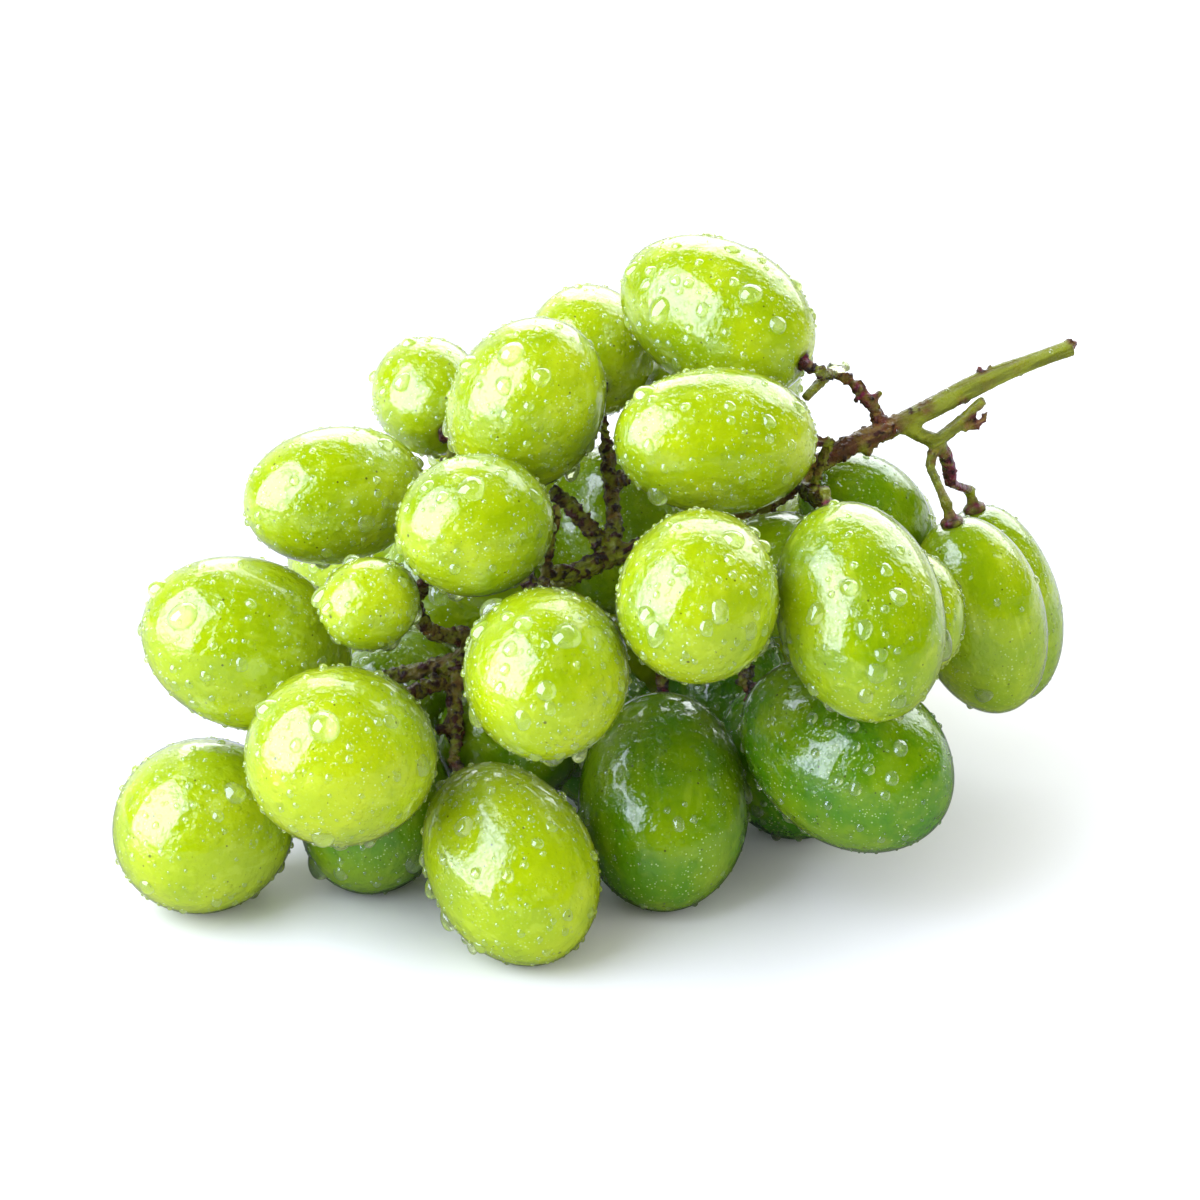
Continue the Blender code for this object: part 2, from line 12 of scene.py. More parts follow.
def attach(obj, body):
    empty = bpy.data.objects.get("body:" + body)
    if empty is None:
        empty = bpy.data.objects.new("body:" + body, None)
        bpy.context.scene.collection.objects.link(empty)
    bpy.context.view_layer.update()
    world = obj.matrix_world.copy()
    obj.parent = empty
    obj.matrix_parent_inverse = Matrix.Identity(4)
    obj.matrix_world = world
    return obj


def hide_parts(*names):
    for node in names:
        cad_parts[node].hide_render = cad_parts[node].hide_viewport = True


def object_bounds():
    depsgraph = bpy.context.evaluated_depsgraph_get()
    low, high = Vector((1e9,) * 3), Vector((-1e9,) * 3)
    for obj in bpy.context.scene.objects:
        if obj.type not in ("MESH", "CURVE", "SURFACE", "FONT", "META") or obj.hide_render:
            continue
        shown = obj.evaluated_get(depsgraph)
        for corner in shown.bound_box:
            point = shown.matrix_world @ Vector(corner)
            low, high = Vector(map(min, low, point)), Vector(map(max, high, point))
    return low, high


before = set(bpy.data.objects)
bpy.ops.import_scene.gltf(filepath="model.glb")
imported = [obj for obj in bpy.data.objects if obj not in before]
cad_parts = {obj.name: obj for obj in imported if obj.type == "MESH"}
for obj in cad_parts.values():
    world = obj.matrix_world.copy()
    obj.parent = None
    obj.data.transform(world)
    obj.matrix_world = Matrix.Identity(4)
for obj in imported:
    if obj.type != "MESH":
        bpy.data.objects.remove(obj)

bl_info = {
    "name": "Wet Bunch of Grapes",
    "version": (1, 0, 0),
    "blender": (4, 5, 0),
    "location": "3D View > Sidebar > Grapes",
    "description": "Dresses a packed bunch of grapes with skins, stalks and drops of water",
    "category": "Object",
}

CAD_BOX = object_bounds()
MM = 0.001

BERRY_NODES = sorted(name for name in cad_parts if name.startswith("berry_"))
STEM_NODE = "stem"

# The bunch as it is looked at: the slope of the view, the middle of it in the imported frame, and how far off.
VIEW_SLOPE = math.radians(25)
VIEW_MIDDLE = Vector((0.02, -6.21, 34.5)) * MM
VIEW_DISTANCE = 620.0

# The way from the bunch to the large window light.
WINDOW_WAY = (-0.78, -0.33, 0.5)


def box_corners():
    """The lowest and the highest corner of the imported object's box, in millimetres."""
    return np.array(CAD_BOX) / MM


def from_sight(across, up, depth):
    """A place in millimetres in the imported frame, from one along the line of sight."""
    level = up * math.sin(VIEW_SLOPE) + depth * math.cos(VIEW_SLOPE)
    height = up * math.cos(VIEW_SLOPE) - depth * math.sin(VIEW_SLOPE)
    return np.array((across, level, height)) + np.array(VIEW_MIDDLE) / MM


# How green each berry is: 0 is the ripe yellow-green and 1 is deep green. The share is partly the berry's own
# green and partly painted shade: the berries to the right, low down and behind get more of it as they lie in
# shadow. A berry that isn't listed gets a random share, up to the one below.
GREEN_AND_SHADE_SHARES = {
    "berry_01": 0.14, "berry_02": 0.08, "berry_03": 0.05, "berry_04": 0.06, "berry_05": 0.05,
    "berry_06": 0.0, "berry_08": 0.12, "berry_09": 0.02, "berry_10": 0.0, "berry_11": 0.0,
    "berry_12": 0.72, "berry_13": 0.0, "berry_14": 0.1, "berry_15": 0.12, "berry_16": 0.74,
    "berry_17": 0.32, "berry_18": 0.8, "berry_19": 0.95, "berry_20": 0.3, "berry_21": 0.35,
    "berry_22": 0.6, "berry_23": 0.2, "berry_24": 0.5, "berry_25": 0.45, "berry_26": 0.6,
    "berry_27": 0.5, "berry_28": 0.9, "berry_29": 0.95, "berry_30": 0.7,
}
MOST_RIPE_GREEN = 0.22
FORM_SEED = 11

# Vertex attributes that the skins and the bark read.
GREEN_AND_SHADE = "green_and_shade"
LIE = "lie"
ENDS = "ends"
CRUST = "crust"
AGE = "age"
WINE = "wine"


def unit(vectors):
    return vectors / np.linalg.norm(vectors, axis=-1, keepdims=True)


def mesh_points(data):
    """A mesh's points in millimetres."""
    flat = np.empty(len(data.vertices) * 3)
    data.vertices.foreach_get("co", flat)
    return flat.reshape(-1, 3) / MM


def colour_property(name, description, default):
    """A colour that a user may change."""
    return FloatVectorProperty(
        name=name, description=description, default=default, min=0.0, max=1.0, subtype="COLOR"
    )


def count_property(name, description, default, least=0, most=2000):
    """A whole number that a user may change."""
    return IntProperty(name=name, description=description, default=default, min=least, max=most)


def size_property(name, description, default, **limits):
    """A size, a share or a strength that a user may change."""
    return FloatProperty(name=name, description=description, default=default, **limits)


class BerrySettings(bpy.types.PropertyGroup):
    """What a user would change on the berries."""

    sides: count_property("Sides", "Faces round the middle of each berry", 64, 16, 256)
    rings: count_property("Rings", "Rings of faces from stem end to tip", 44, 12, 192)
    lump_height: size_property(
        "Lump height", "How far the skin's slow lumps rise, in millimetres", 0.14, min=0.0, max=0.5
    )
    egg_share: size_property(
        "Egg share", "Most that a berry widens towards one end", 0.06, min=0.0, max=0.2, subtype="FACTOR"
    )
    ripe_colour: colour_property("Ripe colour", "The yellow-green of a ripe skin", (0.365, 0.485, 0.002))
    sunny_colour: colour_property("Sunny colour", "The yellower patches of it", (0.455, 0.56, 0.006))
    # The deep green is also the colour of painted shade, on the berries that lie in shadow.
    deep_and_shade_colour: colour_property("Deep colour", "The deep green of a shaded skin", (0.05, 0.19, 0.001))
    speck_colour: colour_property("Speck colour", "The corky dots and the tip's scar", (0.05, 0.035, 0.008))


class WaterSettings(bpy.types.PropertyGroup):
    """What a user would change on the water."""

    large_drops: count_property("Large drops", "Tried on each berry, 0.6 to 1.6 mm in radius", 14)
    small_drops: count_property("Small drops", "Tried on each berry, 0.3 to 0.6 mm in radius", 115)
    fine_drops: count_property("Fine drops", "Tried on each berry, 0.14 to 0.3 mm in radius", 520)
    stem_drops: count_property("Stem drops", "Tried on the stem, 0.16 to 0.42 mm in radius", 140)
    seed: count_property("Seed", "Which set of drops is drawn", 7)


class StemSettings(bpy.types.PropertyGroup):
    """What a user would change on the stem."""

    fineness: size_property(
        "Fineness", "Size of the stem's faces in millimetres", 0.24, min=0.1, max=2.0
    )
    crust_height: size_property(
        "Crust height", "How far the dark crust rises, in millimetres", 0.28, min=0.0, max=1.0
    )
    green_colour: colour_property("Green colour", "The fresh stalk", (0.25, 0.285, 0.014))
    brown_colour: colour_property("Brown colour", "The woody bark", (0.085, 0.036, 0.008))
    crust_colour: colour_property("Crust colour", "The nearly black crust", (0.016, 0.006, 0.004))


class StageSettings(bpy.types.PropertyGroup):
    """What a user would change on the floor, the lights and the camera."""

    slope: size_property("Camera slope", "How far the camera looks down", VIEW_SLOPE, subtype="ANGLE")
    distance: size_property(
        "Camera distance", "From the middle of the bunch", VIEW_DISTANCE * MM, unit="LENGTH"
    )
    view_width: size_property("View width", "Width in view at the bunch's middle", 0.15, unit="LENGTH")
    light_level: size_property("Light level", "Scales the soft lights", 1.0, min=0.0)
    fill: size_property("Fill", "Strength of the white light all round", 0.86, min=0.0)
    floor_colour: colour_property("Floor colour", "The pale floor", (0.86, 0.86, 0.85))


def fitted_ellipsoid(points):
    """The centre, the axes with the long one last, and the half lengths of the ellipsoid through points."""
    middle = points.mean(axis=0)
    x, y, z = (points - middle).T
    columns = (x * x, y * y, z * z, 2 * x * y, 2 * x * z, 2 * y * z, 2 * x, 2 * y, 2 * z)
    found = np.linalg.lstsq(np.column_stack(columns), np.ones(len(points)), rcond=None)[0]
    xx, yy, zz, xy, xz, yz = found[:6]
    shape = np.array(((xx, xy, xz), (xy, yy, yz), (xz, yz, zz)))
    centre = -np.linalg.solve(shape, found[6:])
    values, vectors = np.linalg.eigh(shape / (1 + centre @ shape @ centre))
    order = np.argsort(values)[::-1]
    return middle + centre, vectors[:, order], 1 / np.sqrt(values[order])


class BerryForm:
    """The smooth shape of one berry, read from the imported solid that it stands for."""

    # Points this low, in millimetres, belong to the flat facet that the berry rests on.
    FLAT_BAND = 0.05
    DIMPLE_DEPTH = 0.55
    DIMPLE_WIDTH = 2.1
    TIP_DEPTH = 0.12
    TIP_WIDTH = 0.7
    # The lumps are a mean of this many waves; the rates are in radians over one radius.
    WAVES = 7
    WAVE_RATES = (2.0, 5.5)
    # How far the waves are lowered, and how far an egg shape is narrowed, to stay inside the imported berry.
    WAVE_DROP = 0.5
    EGG_DROP = 0.4

    def __init__(self, name, stem_points, settings, random):
        points = mesh_points(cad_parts[name].data)
        points = points[points[:, 2] > self.FLAT_BAND]
        self.name = name
        self.centre, axes, radii = fitted_ellipsoid(points)
        tips = [self.centre + side * axes[:, 2] * radii[2] for side in (1, -1)]
        nearest = [np.linalg.norm(stem_points - tip, axis=1).min() for tip in tips]
        if nearest[0] < nearest[1]:
            axes[:, 2] *= -1
        axes[:, 0] = np.cross(axes[:, 1], axes[:, 2])
        self.axes = axes
        self.radii = np.array((radii[:2].mean(), radii[:2].mean(), radii[2]))
        self.egg = random.uniform(-settings.egg_share, settings.egg_share)
        ways = unit(random.normal(size=(self.WAVES, 3)))
        self.ways = ways * random.uniform(*self.WAVE_RATES, (self.WAVES, 1))
        self.phases = random.uniform(0, 2 * math.pi, self.WAVES)
        self.lump = settings.lump_height
        # Its share of deep green, partly its own colour and partly painted shade.
        self.green = GREEN_AND_SHADE_SHARES.get(name, random.uniform(0, MOST_RIPE_GREEN))

    def surface(self, directions):
        """Points of the skin, in millimetres, for directions along the berry's own axes."""
        d = unit(directions)
        wide = 1 + self.egg * d[:, 2] * (1 - d[:, 2] ** 2) - self.EGG_DROP * abs(self.egg)
        local = d * self.radii
        local[:, :2] *= wide[:, None]
        waves = np.sin(d @ self.ways.T + self.phases).mean(axis=1)
        local += d * (self.lump * (waves - self.WAVE_DROP))[:, None]
        away = np.linalg.norm(local[:, :2], axis=1)
        stem_side = d[:, 2] < 0
        dimple = self.DIMPLE_DEPTH * np.exp(-((away / self.DIMPLE_WIDTH) ** 2))
        tip = self.TIP_DEPTH * np.exp(-((away / self.TIP_WIDTH) ** 2))
        local[:, 2] += np.where(stem_side, dimple, -tip)
        world = self.centre + local @ self.axes.T
        return np.clip(world, *box_corners())

    def directions_to(self, points):
        return unit(((points - self.centre) @ self.axes) / self.radii)

    def on_skin(self, points):
        return self.surface(self.directions_to(points))

    def normals_at(self, points):
        return unit((((points - self.centre) @ self.axes) / self.radii**2) @ self.axes.T)

    def pole(self):
        """The place in the dimple where the stalk joins."""
        return self.surface(np.array(((0.0, 0.0, -1.0),)))[0]

    def clearance(self, points):
        """About how far points lie outside the berry."""
        level = np.linalg.norm(((points - self.centre) @ self.axes) / self.radii, axis=1)
        return (level - 1) * self.radii[0]


def berry_forms(settings):
    """The same shapes each time that they are asked for."""
    random = np.random.default_rng(FORM_SEED)
    stem_points = mesh_points(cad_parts[STEM_NODE].data)
    return [BerryForm(name, stem_points, settings, random) for name in BERRY_NODES]


def new_mesh_object(name, points, faces):
    """A smooth mesh object from points in millimetres."""
    data = bpy.data.meshes.new(name)
    data.from_pydata((np.asarray(points) * MM).tolist(), [], faces)
    data.validate()
    data.shade_smooth()
    obj = bpy.data.objects.new(name, data)
    bpy.context.scene.collection.objects.link(obj)
    return obj


def set_attribute(data, name, kind, values):
    """Writes one value, or one vector, for each vertex."""
    attribute = data.attributes.new(name, kind, "POINT")
    key = "vector" if kind == "FLOAT_VECTOR" else "value"
    attribute.data.foreach_set(key, np.asarray(values, np.float32).ravel())


def ball_directions(sides, rings):
    """Unit directions of a ball's points, tip first and stem end last, with its faces."""
    polar = np.linspace(0, math.pi, rings + 1)[1:-1]
    turns = np.linspace(0, 2 * math.pi, sides, endpoint=False)
    rows = [(0.0, 0.0, 1.0)]
    for angle in polar:
        wide = math.sin(angle)
        rows += [(wide * math.cos(turn), wide * math.sin(turn), math.cos(angle)) for turn in turns]
    rows.append((0.0, 0.0, -1.0))
    last = len(rows) - 1
    faces = [(0, 1 + side, 1 + (side + 1) % sides) for side in range(sides)]
    for ring in range(rings - 2):
        above = 1 + ring * sides
        below = above + sides
        for side in range(sides):
            after = (side + 1) % sides
            faces.append((above + side, below + side, below + after, above + after))
    foot = 1 + (rings - 2) * sides
    faces += [(last, foot + (side + 1) % sides, foot + side) for side in range(sides)]
    return np.array(rows), faces


# Material building.


def add_node(tree, kind, values=None, **settings):
    """Adds a node, sets its properties, and sets or links its inputs."""
    node = tree.nodes.new(kind)
    for key, value in settings.items():
        setattr(node, key, value)
    for key, value in (values or {}).items():
        if isinstance(value, bpy.types.NodeSocket):
            tree.links.new(value, node.inputs[key])
        else:
            node.inputs[key].default_value = value
    return node


def math_node(tree, operation, first, second=0.0, third=0.0, clamp=False):
    values = {0: first, 1: second, 2: third}
    return add_node(tree, "ShaderNodeMath", values, operation=operation, use_clamp=clamp).outputs[0]


def times(tree, first, second):
    return math_node(tree, "MULTIPLY", first, second)


def larger(tree, first, second):
    return math_node(tree, "MAXIMUM", first, second)


def mix_colour(tree, share, first, second):
    """A colour mix; first and second are colours of four numbers, or sockets."""
    return add_node(tree, "ShaderNodeMix", {0: share, 6: first, 7: second}, data_type="RGBA").outputs[2]


def map_range(tree, value, low, high, to_low=0.0, to_high=1.0):
    values = {"Value": value, "From Min": low, "From Max": high, "To Min": to_low, "To Max": to_high}
    return add_node(tree, "ShaderNodeMapRange", values, interpolation_type="SMOOTHSTEP").outputs[0]


def attribute(tree, name, output="Fac"):
    return add_node(tree, "ShaderNodeAttribute", attribute_name=name).outputs[output]


def new_group(name, inputs, outputs):
    """A node group with named sockets; returns the tree, its input node and its output node."""
    tree = bpy.data.node_groups.new(name, "ShaderNodeTree")
    for label, kind, value in inputs:
        socket = tree.interface.new_socket(label, in_out="INPUT", socket_type=kind)
        if value is not None:
            socket.default_value = value
    for label, kind in outputs:
        tree.interface.new_socket(label, in_out="OUTPUT", socket_type=kind)
    return tree, tree.nodes.new("NodeGroupInput"), tree.nodes.new("NodeGroupOutput")


def patches_group():
    """Soft-edged patches of noise: a mask of 0 to 1."""
    tree, given, out = new_group(
        "patches",
        (
            ("Vector", "NodeSocketVector", None),
            ("Scale", "NodeSocketFloat", 100.0),
            ("Detail", "NodeSocketFloat", 4.0),
            ("Roughness", "NodeSocketFloat", 0.55),
            ("From", "NodeSocketFloat", 0.45),
            ("To", "NodeSocketFloat", 0.6),
        ),
        (("Mask", "NodeSocketFloat"),),
    )
    values = {key: given.outputs[key] for key in ("Vector", "Scale", "Detail", "Roughness")}
    cloud = add_node(tree, "ShaderNodeTexNoise", values).outputs[0]
    mask = map_range(tree, cloud, given.outputs["From"], given.outputs["To"])
    tree.links.new(mask, out.inputs["Mask"])
    return tree


def beads_group():
    """Round beads, each in a cell of its own and of its own size: their height and their mask."""
    tree, given, out = new_group(
        "beads",
        (
            ("Vector", "NodeSocketVector", None),
            ("Scale", "NodeSocketFloat", 1000.0),
            ("Share", "NodeSocketFloat", 0.6),
            ("Size", "NodeSocketFloat", 0.45),
        ),
        (("Height", "NodeSocketFloat"), ("Mask", "NodeSocketFloat")),
    )
    values = {"Vector": given.outputs["Vector"], "Scale": given.outputs["Scale"], "Randomness": 1.0}
    cells = add_node(tree, "ShaderNodeTexVoronoi", values, feature="F1", distance="EUCLIDEAN")
    split = add_node(tree, "ShaderNodeSeparateColor", {0: cells.outputs["Color"]})
    shown = math_node(tree, "LESS_THAN", split.outputs[0], given.outputs["Share"])
    spread = math_node(tree, "MULTIPLY_ADD", split.outputs[1], 0.75, 0.25)
    radius = times(tree, spread, given.outputs["Size"])
    share = math_node(tree, "DIVIDE", cells.outputs["Distance"], radius, clamp=True)
    fall = math_node(tree, "SUBTRACT", 1.0, math_node(tree, "POWER", share, 2.0))
    dome = math_node(tree, "POWER", fall, 0.7)
    height = times(tree, times(tree, dome, radius), shown)
    mask = times(tree, map_range(tree, fall, 0.0, 0.3), shown)
    tree.links.new(height, out.inputs["Height"])
    tree.links.new(mask, out.inputs["Mask"])
    return tree


GROUP_BUILDERS = {"patches": patches_group, "beads": beads_group}


def group_node(tree, name, values):
    """Places a shared group in a material."""
    group = bpy.data.node_groups.get(name) or GROUP_BUILDERS[name]()
    return add_node(tree, "ShaderNodeGroup", values, node_tree=group)


def patches(tree, vector, scale, low, high, detail=4.0):
    """The mask of soft-edged patches, which runs from 0 at low noise to 1 at high."""
    values = {"Vector": vector, "Scale": scale, "Detail": detail, "From": low, "To": high}
    return group_node(tree, "patches", values).outputs["Mask"]


def beads(tree, vector, scale, share, size, output="Mask"):
    """The mask or the height of round beads, in a share of the cells."""
    values = {"Vector": vector, "Scale": scale, "Share": share, "Size": size}
    return group_node(tree, "beads", values).outputs[output]


def bumped(tree, height, distance, strength=1.0):
    """The normal of a surface with this relief; distance is in millimetres."""
    values = {"Height": height, "Strength": strength, "Distance": distance * MM}
    return add_node(tree, "ShaderNodeBump", values).outputs[0]


def object_place(tree):
    return add_node(tree, "ShaderNodeTexCoord").outputs["Object"]


def new_material(name):
    """A material with only its output; returns it, its tree and the output."""
    material = bpy.data.materials.new(name)
    material.use_nodes = True
    tree = material.node_tree
    tree.nodes.clear()
    return material, tree, tree.nodes.new("ShaderNodeOutputMaterial")


def solid(colour):
    return (*colour, 1.0)


WHITE = (1.0, 1.0, 1.0, 1.0)
BLACK = (0.0, 0.0, 0.0, 1.0)

# Pale marks on a skin: its veins, and tiny pale specks, which are painted glints of light on fine mist.
VEIN_COLOUR = (0.62, 0.74, 0.07, 1.0)
MIST_GLINT_COLOUR = (0.74, 0.84, 0.36, 1.0)


def skin_colour(tree, place, settings):
    """Yellow-green over deep green that is partly painted shade, with fine veins, pale specks of painted
    glints and dark corky dots.
    """
    lie = attribute(tree, LIE, "Vector")
    sunny = patches(tree, place, 75.0, 0.42, 0.66)
    ripe = mix_colour(tree, sunny, solid(settings.ripe_colour), solid(settings.sunny_colour))
    cloudy = patches(tree, place, 120.0, 0.35, 0.65)
    swing = math_node(tree, "MULTIPLY_ADD", cloudy, 0.3, -0.15)
    # Deep green over the ripe colour: partly the skin's own green, partly painted shade on berries in shadow;
    # the patches swing it at random.
    depth = math_node(tree, "ADD", attribute(tree, GREEN_AND_SHADE), swing, clamp=True)
    flesh = mix_colour(tree, depth, ripe, solid(settings.deep_and_shade_colour))

    broad = times(tree, patches(tree, lie, 5.0, 0.56, 0.66, 5.0), 0.22)
    fine = times(tree, patches(tree, lie, 17.0, 0.6, 0.72, 3.0), 0.2)
    veins = times(tree, larger(tree, broad, fine), map_range(tree, depth, 0.2, 0.8, 1.0, 0.3))
    veined = mix_colour(tree, veins, flesh, VEIN_COLOUR)

    # Painted glints: pale specks in patches that stand in for light caught by fine mist.
    pale = larger(tree, beads(tree, place, 1300.0, 0.6, 0.22), beads(tree, place, 2400.0, 0.6, 0.32))
    mist_glints = times(tree, pale, patches(tree, place, 130.0, 0.4, 0.6, 3.0))
    glinted = mix_colour(tree, times(tree, mist_glints, 0.5), veined, MIST_GLINT_COLOUR)

    dots = times(tree, beads(tree, place, 760.0, 0.62, 0.13), 0.8)
    grains = times(tree, beads(tree, place, 1700.0, 0.3, 0.16), 0.4)
    ends = add_node(tree, "ShaderNodeSeparateXYZ", {0: attribute(tree, ENDS, "Vector")})
    tip = map_range(tree, ends.outputs["X"], 0.26, 0.14, 0.0, 0.75)
    crown = map_range(tree, ends.outputs["Y"], 2.0, 1.3, 0.0, 0.55)
    dark = larger(tree, larger(tree, dots, grains), larger(tree, tip, crown))
    return mix_colour(tree, dark, glinted, solid(settings.speck_colour))


def skin_normal(tree, place):
    """The relief of a film of fine water: mist in patches, small beads and a slow swell."""
    misty = patches(tree, place, 150.0, 0.42, 0.6)
    mist = times(tree, beads(tree, place, 1150.0, 0.8, 0.5, "Height"), misty)
    film = add_node(tree, "ShaderNodeTexNoise", {"Vector": place, "Scale": 560.0, "Detail": 3.0}).outputs[0]
    small = times(tree, beads(tree, place, 520.0, 0.3, 0.42, "Height"), 0.3)
    relief = math_node(tree, "ADD", times(tree, mist, 0.34), small)
    relief = math_node(tree, "ADD", relief, times(tree, film, 0.42))
    return bumped(tree, relief, 1.2)


def skin_material(settings):
    """A grape's wet skin, with light let through the flesh under it."""
    material, tree, out = new_material("berry_skin")
    place = object_place(tree)
    shader = add_node(
        tree,
        "ShaderNodeBsdfPrincipled",
        {
            "Base Color": skin_colour(tree, place, settings),
            "Roughness": map_range(tree, patches(tree, place, 260.0, 0.4, 0.62), 0.0, 1.0, 0.06, 0.2),
            "Normal": skin_normal(tree, place),
            "IOR": 1.45,
            "Specular IOR Level": 1.0,
            "Subsurface Weight": 0.85,
            "Subsurface Radius": (1.0, 1.0, 0.25),
            "Subsurface Scale": 3.2 * MM,
            "Coat Weight": 1.0,
            "Coat Roughness": 0.02,
            "Coat IOR": 1.65,
        },
    )
    tree.links.new(shader.outputs[0], out.inputs["Surface"])
    return material


def water_material(name="clear_water", veil_tint=(0.96, 1.0, 0.8, 1.0), clearness=0.96):
    """Nearly clear water that lets the lamps' light through to what it lies on, with a painted veil of pale
    light in the share that isn't clear.
    """
    material, tree, out = new_material(name)
    ripple = patches(tree, object_place(tree), 400.0, 0.3, 0.7, 1.0)
    shader = add_node(
        tree,
        "ShaderNodeBsdfPrincipled",
        {
            # The pale colour is a painted veil of light, seen in the share of the water that isn't clear.
            "Base Color": veil_tint,
            "Roughness": 0.0,
            "IOR": 1.4,
            "Specular IOR Level": 0.7,
            "Transmission Weight": clearness,
            "Coat Weight": 1.0,
            "Coat Roughness": 0.0,
            "Coat IOR": 1.9,
            "Normal": bumped(tree, ripple, 0.05, 0.25),
        },
    )
    clear = add_node(tree, "ShaderNodeBsdfTransparent")
    lamp = add_node(tree, "ShaderNodeLightPath").outputs["Is Shadow Ray"]
    mixed = add_node(tree, "ShaderNodeMixShader", {0: lamp, 1: shader.outputs[0], 2: clear.outputs[0]})
    tree.links.new(mixed.outputs[0], out.inputs["Surface"])
    return material


def bright_water_material():
    """The side of a drop where the light that enters it gathers."""
    return water_material("bright_water", (0.9, 1.0, 0.45, 1.0), 0.72)


# The bark's other colours.
SHADED_GREEN = (0.085, 0.09, 0.005, 1.0)
DRY_WOOD = (0.26, 0.17, 0.035, 1.0)
RUST = (0.17, 0.034, 0.014, 1.0)
DEEP_WINE = (0.035, 0.003, 0.009, 1.0)
BRIGHT_WINE = (0.19, 0.011, 0.05, 1.0)
RED_CRUST = (0.11, 0.018, 0.012, 1.0)


def bark_colour(tree, place, streaks, settings):
    """Green where fresh, brown where woody, wine red in places and crusted nearly black."""
    age = attribute(tree, AGE)
    shaded = mix_colour(tree, 0.75, solid(settings.green_colour), SHADED_GREEN)
    green = mix_colour(tree, times(tree, streaks, 0.85), solid(settings.green_colour), shaded)
    browning = patches(tree, attribute(tree, LIE, "Vector"), 330.0, 0.38, 0.62, 5.0)
    uneven = math_node(tree, "MULTIPLY_ADD", browning, 0.8, -0.5)
    woody = math_node(tree, "ADD", age, uneven, clamp=True)
    brown = mix_colour(tree, streaks, solid(settings.brown_colour), DRY_WOOD)
    bark = mix_colour(tree, woody, green, brown)
    rusty = patches(tree, place, 520.0, 0.55, 0.63, 5.0)
    rust = times(tree, rusty, math_node(tree, "MULTIPLY_ADD", age, 0.5, 0.12))
    bark = mix_colour(tree, rust, bark, RUST)
    mottled = patches(tree, place, 800.0, 0.35, 0.6, 3.0)
    purple = mix_colour(tree, mottled, DEEP_WINE, BRIGHT_WINE)
    tinted = mix_colour(tree, attribute(tree, WINE), bark, purple)
    black = mix_colour(tree, times(tree, mottled, 0.45), solid(settings.crust_colour), RED_CRUST)
    return mix_colour(tree, attribute(tree, CRUST), tinted, black)


def bark_material(settings):
    """A stalk's bark, ribbed along its length and damp in places."""
    material, tree, out = new_material("stem_bark")
    place = object_place(tree)
    streaks = patches(tree, attribute(tree, LIE, "Vector"), 900.0, 0.42, 0.62, 3.0)
    values = {"Vector": place, "Scale": 1500.0, "Detail": 5.0, "Roughness": 0.7}
    grit = add_node(tree, "ShaderNodeTexNoise", values).outputs[0]
    ribs = math_node(tree, "MULTIPLY_ADD", streaks, -0.5, grit)
    damp = patches(tree, place, 500.0, 0.4, 0.6)
    shader = add_node(
        tree,
        "ShaderNodeBsdfPrincipled",
        {
            "Base Color": bark_colour(tree, place, streaks, settings),
            "Roughness": map_range(tree, damp, 0.0, 1.0, 0.14, 0.45),
            "Normal": bumped(tree, ribs, 0.45),
            "IOR": 1.45,
            "Subsurface Weight": 0.08,
            "Subsurface Radius": (1.0, 0.6, 0.2),
            "Subsurface Scale": 0.6 * MM,
            "Coat Weight": 0.4,
            "Coat Roughness": 0.1,
        },
    )
    tree.links.new(shader.outputs[0], out.inputs["Surface"])
    return material


def floor_material(colour):
    """A pale floor that shows darker in what glossy things mirror, most of all in front of the bunch."""
    material, tree, out = new_material("pale_floor")
    place = object_place(tree)
    cloud = patches(tree, place, 3.0, 0.2, 0.8)
    shade = mix_colour(tree, times(tree, cloud, 0.03), solid(colour), WHITE)
    shader = add_node(tree, "ShaderNodeBsdfPrincipled", {"Base Color": shade, "Roughness": 0.75})
    turns = add_node(tree, "ShaderNodeLightPath").outputs["Glossy Depth"]
    mirrored = math_node(tree, "MINIMUM", turns, 1.0)
    depth = add_node(tree, "ShaderNodeSeparateXYZ", {0: place}).outputs["Y"]
    share = times(tree, mirrored, map_range(tree, depth, 0.0, 0.12, 0.72, 0.15))
    dark = add_node(tree, "ShaderNodeBsdfDiffuse", {"Color": BLACK})
    mixed = add_node(tree, "ShaderNodeMixShader", {0: share, 1: shader.outputs[0], 2: dark.outputs[0]})
    tree.links.new(mixed.outputs[0], out.inputs["Surface"])
    return material


# Berries.


# Stands for a distance in millimetres that is too far to matter.
FAR_OFF = 9.0
# How fast the veins change along a berry, as a share of how fast they change round it.
VEIN_STRETCH = 0.22


def end_distances(form, points, directions):
    """How far each point lies from the axis, on the tip's side and on the stalk's side, in millimetres."""
    away = np.linalg.norm((points - form.centre) @ form.axes[:, :2], axis=1)
    tip = np.where(directions[:, 2] > 0, away, FAR_OFF)
    crown = np.where(directions[:, 2] < 0, away, FAR_OFF)
    return np.column_stack((tip, crown, np.zeros(len(points))))


def make_berry(form, directions, faces, material):
    points = form.surface(directions)
    obj = new_mesh_object(form.name.replace("berry", "grape"), points, faces)
    data = obj.data
    data.materials.append(material)
    # Each berry's share of deep green, which also paints shade on the berries in shadow.
    set_attribute(data, GREEN_AND_SHADE, "FLOAT", np.full(len(points), form.green))
    stretched = directions * (1.0, 1.0, VEIN_STRETCH) + np.array(form.phases[:3])
    set_attribute(data, LIE, "FLOAT_VECTOR", stretched)
    set_attribute(data, ENDS, "FLOAT_VECTOR", end_distances(form, points, directions))
    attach(obj, "root")
    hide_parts(form.name)


class GRAPES_OT_make_berries(bpy.types.Operator):
    """Replace each packed berry with a smooth one that has a skin"""

    bl_idname = "grapes.make_berries"
    bl_label = "Make Berries"

    def execute(self, context):
        settings = context.scene.grape_berries
        directions, faces = ball_directions(settings.sides, settings.rings)
        material = skin_material(settings)
        for form in berry_forms(settings):
            make_berry(form, directions, faces, material)
        return {"FINISHED"}


# Water.


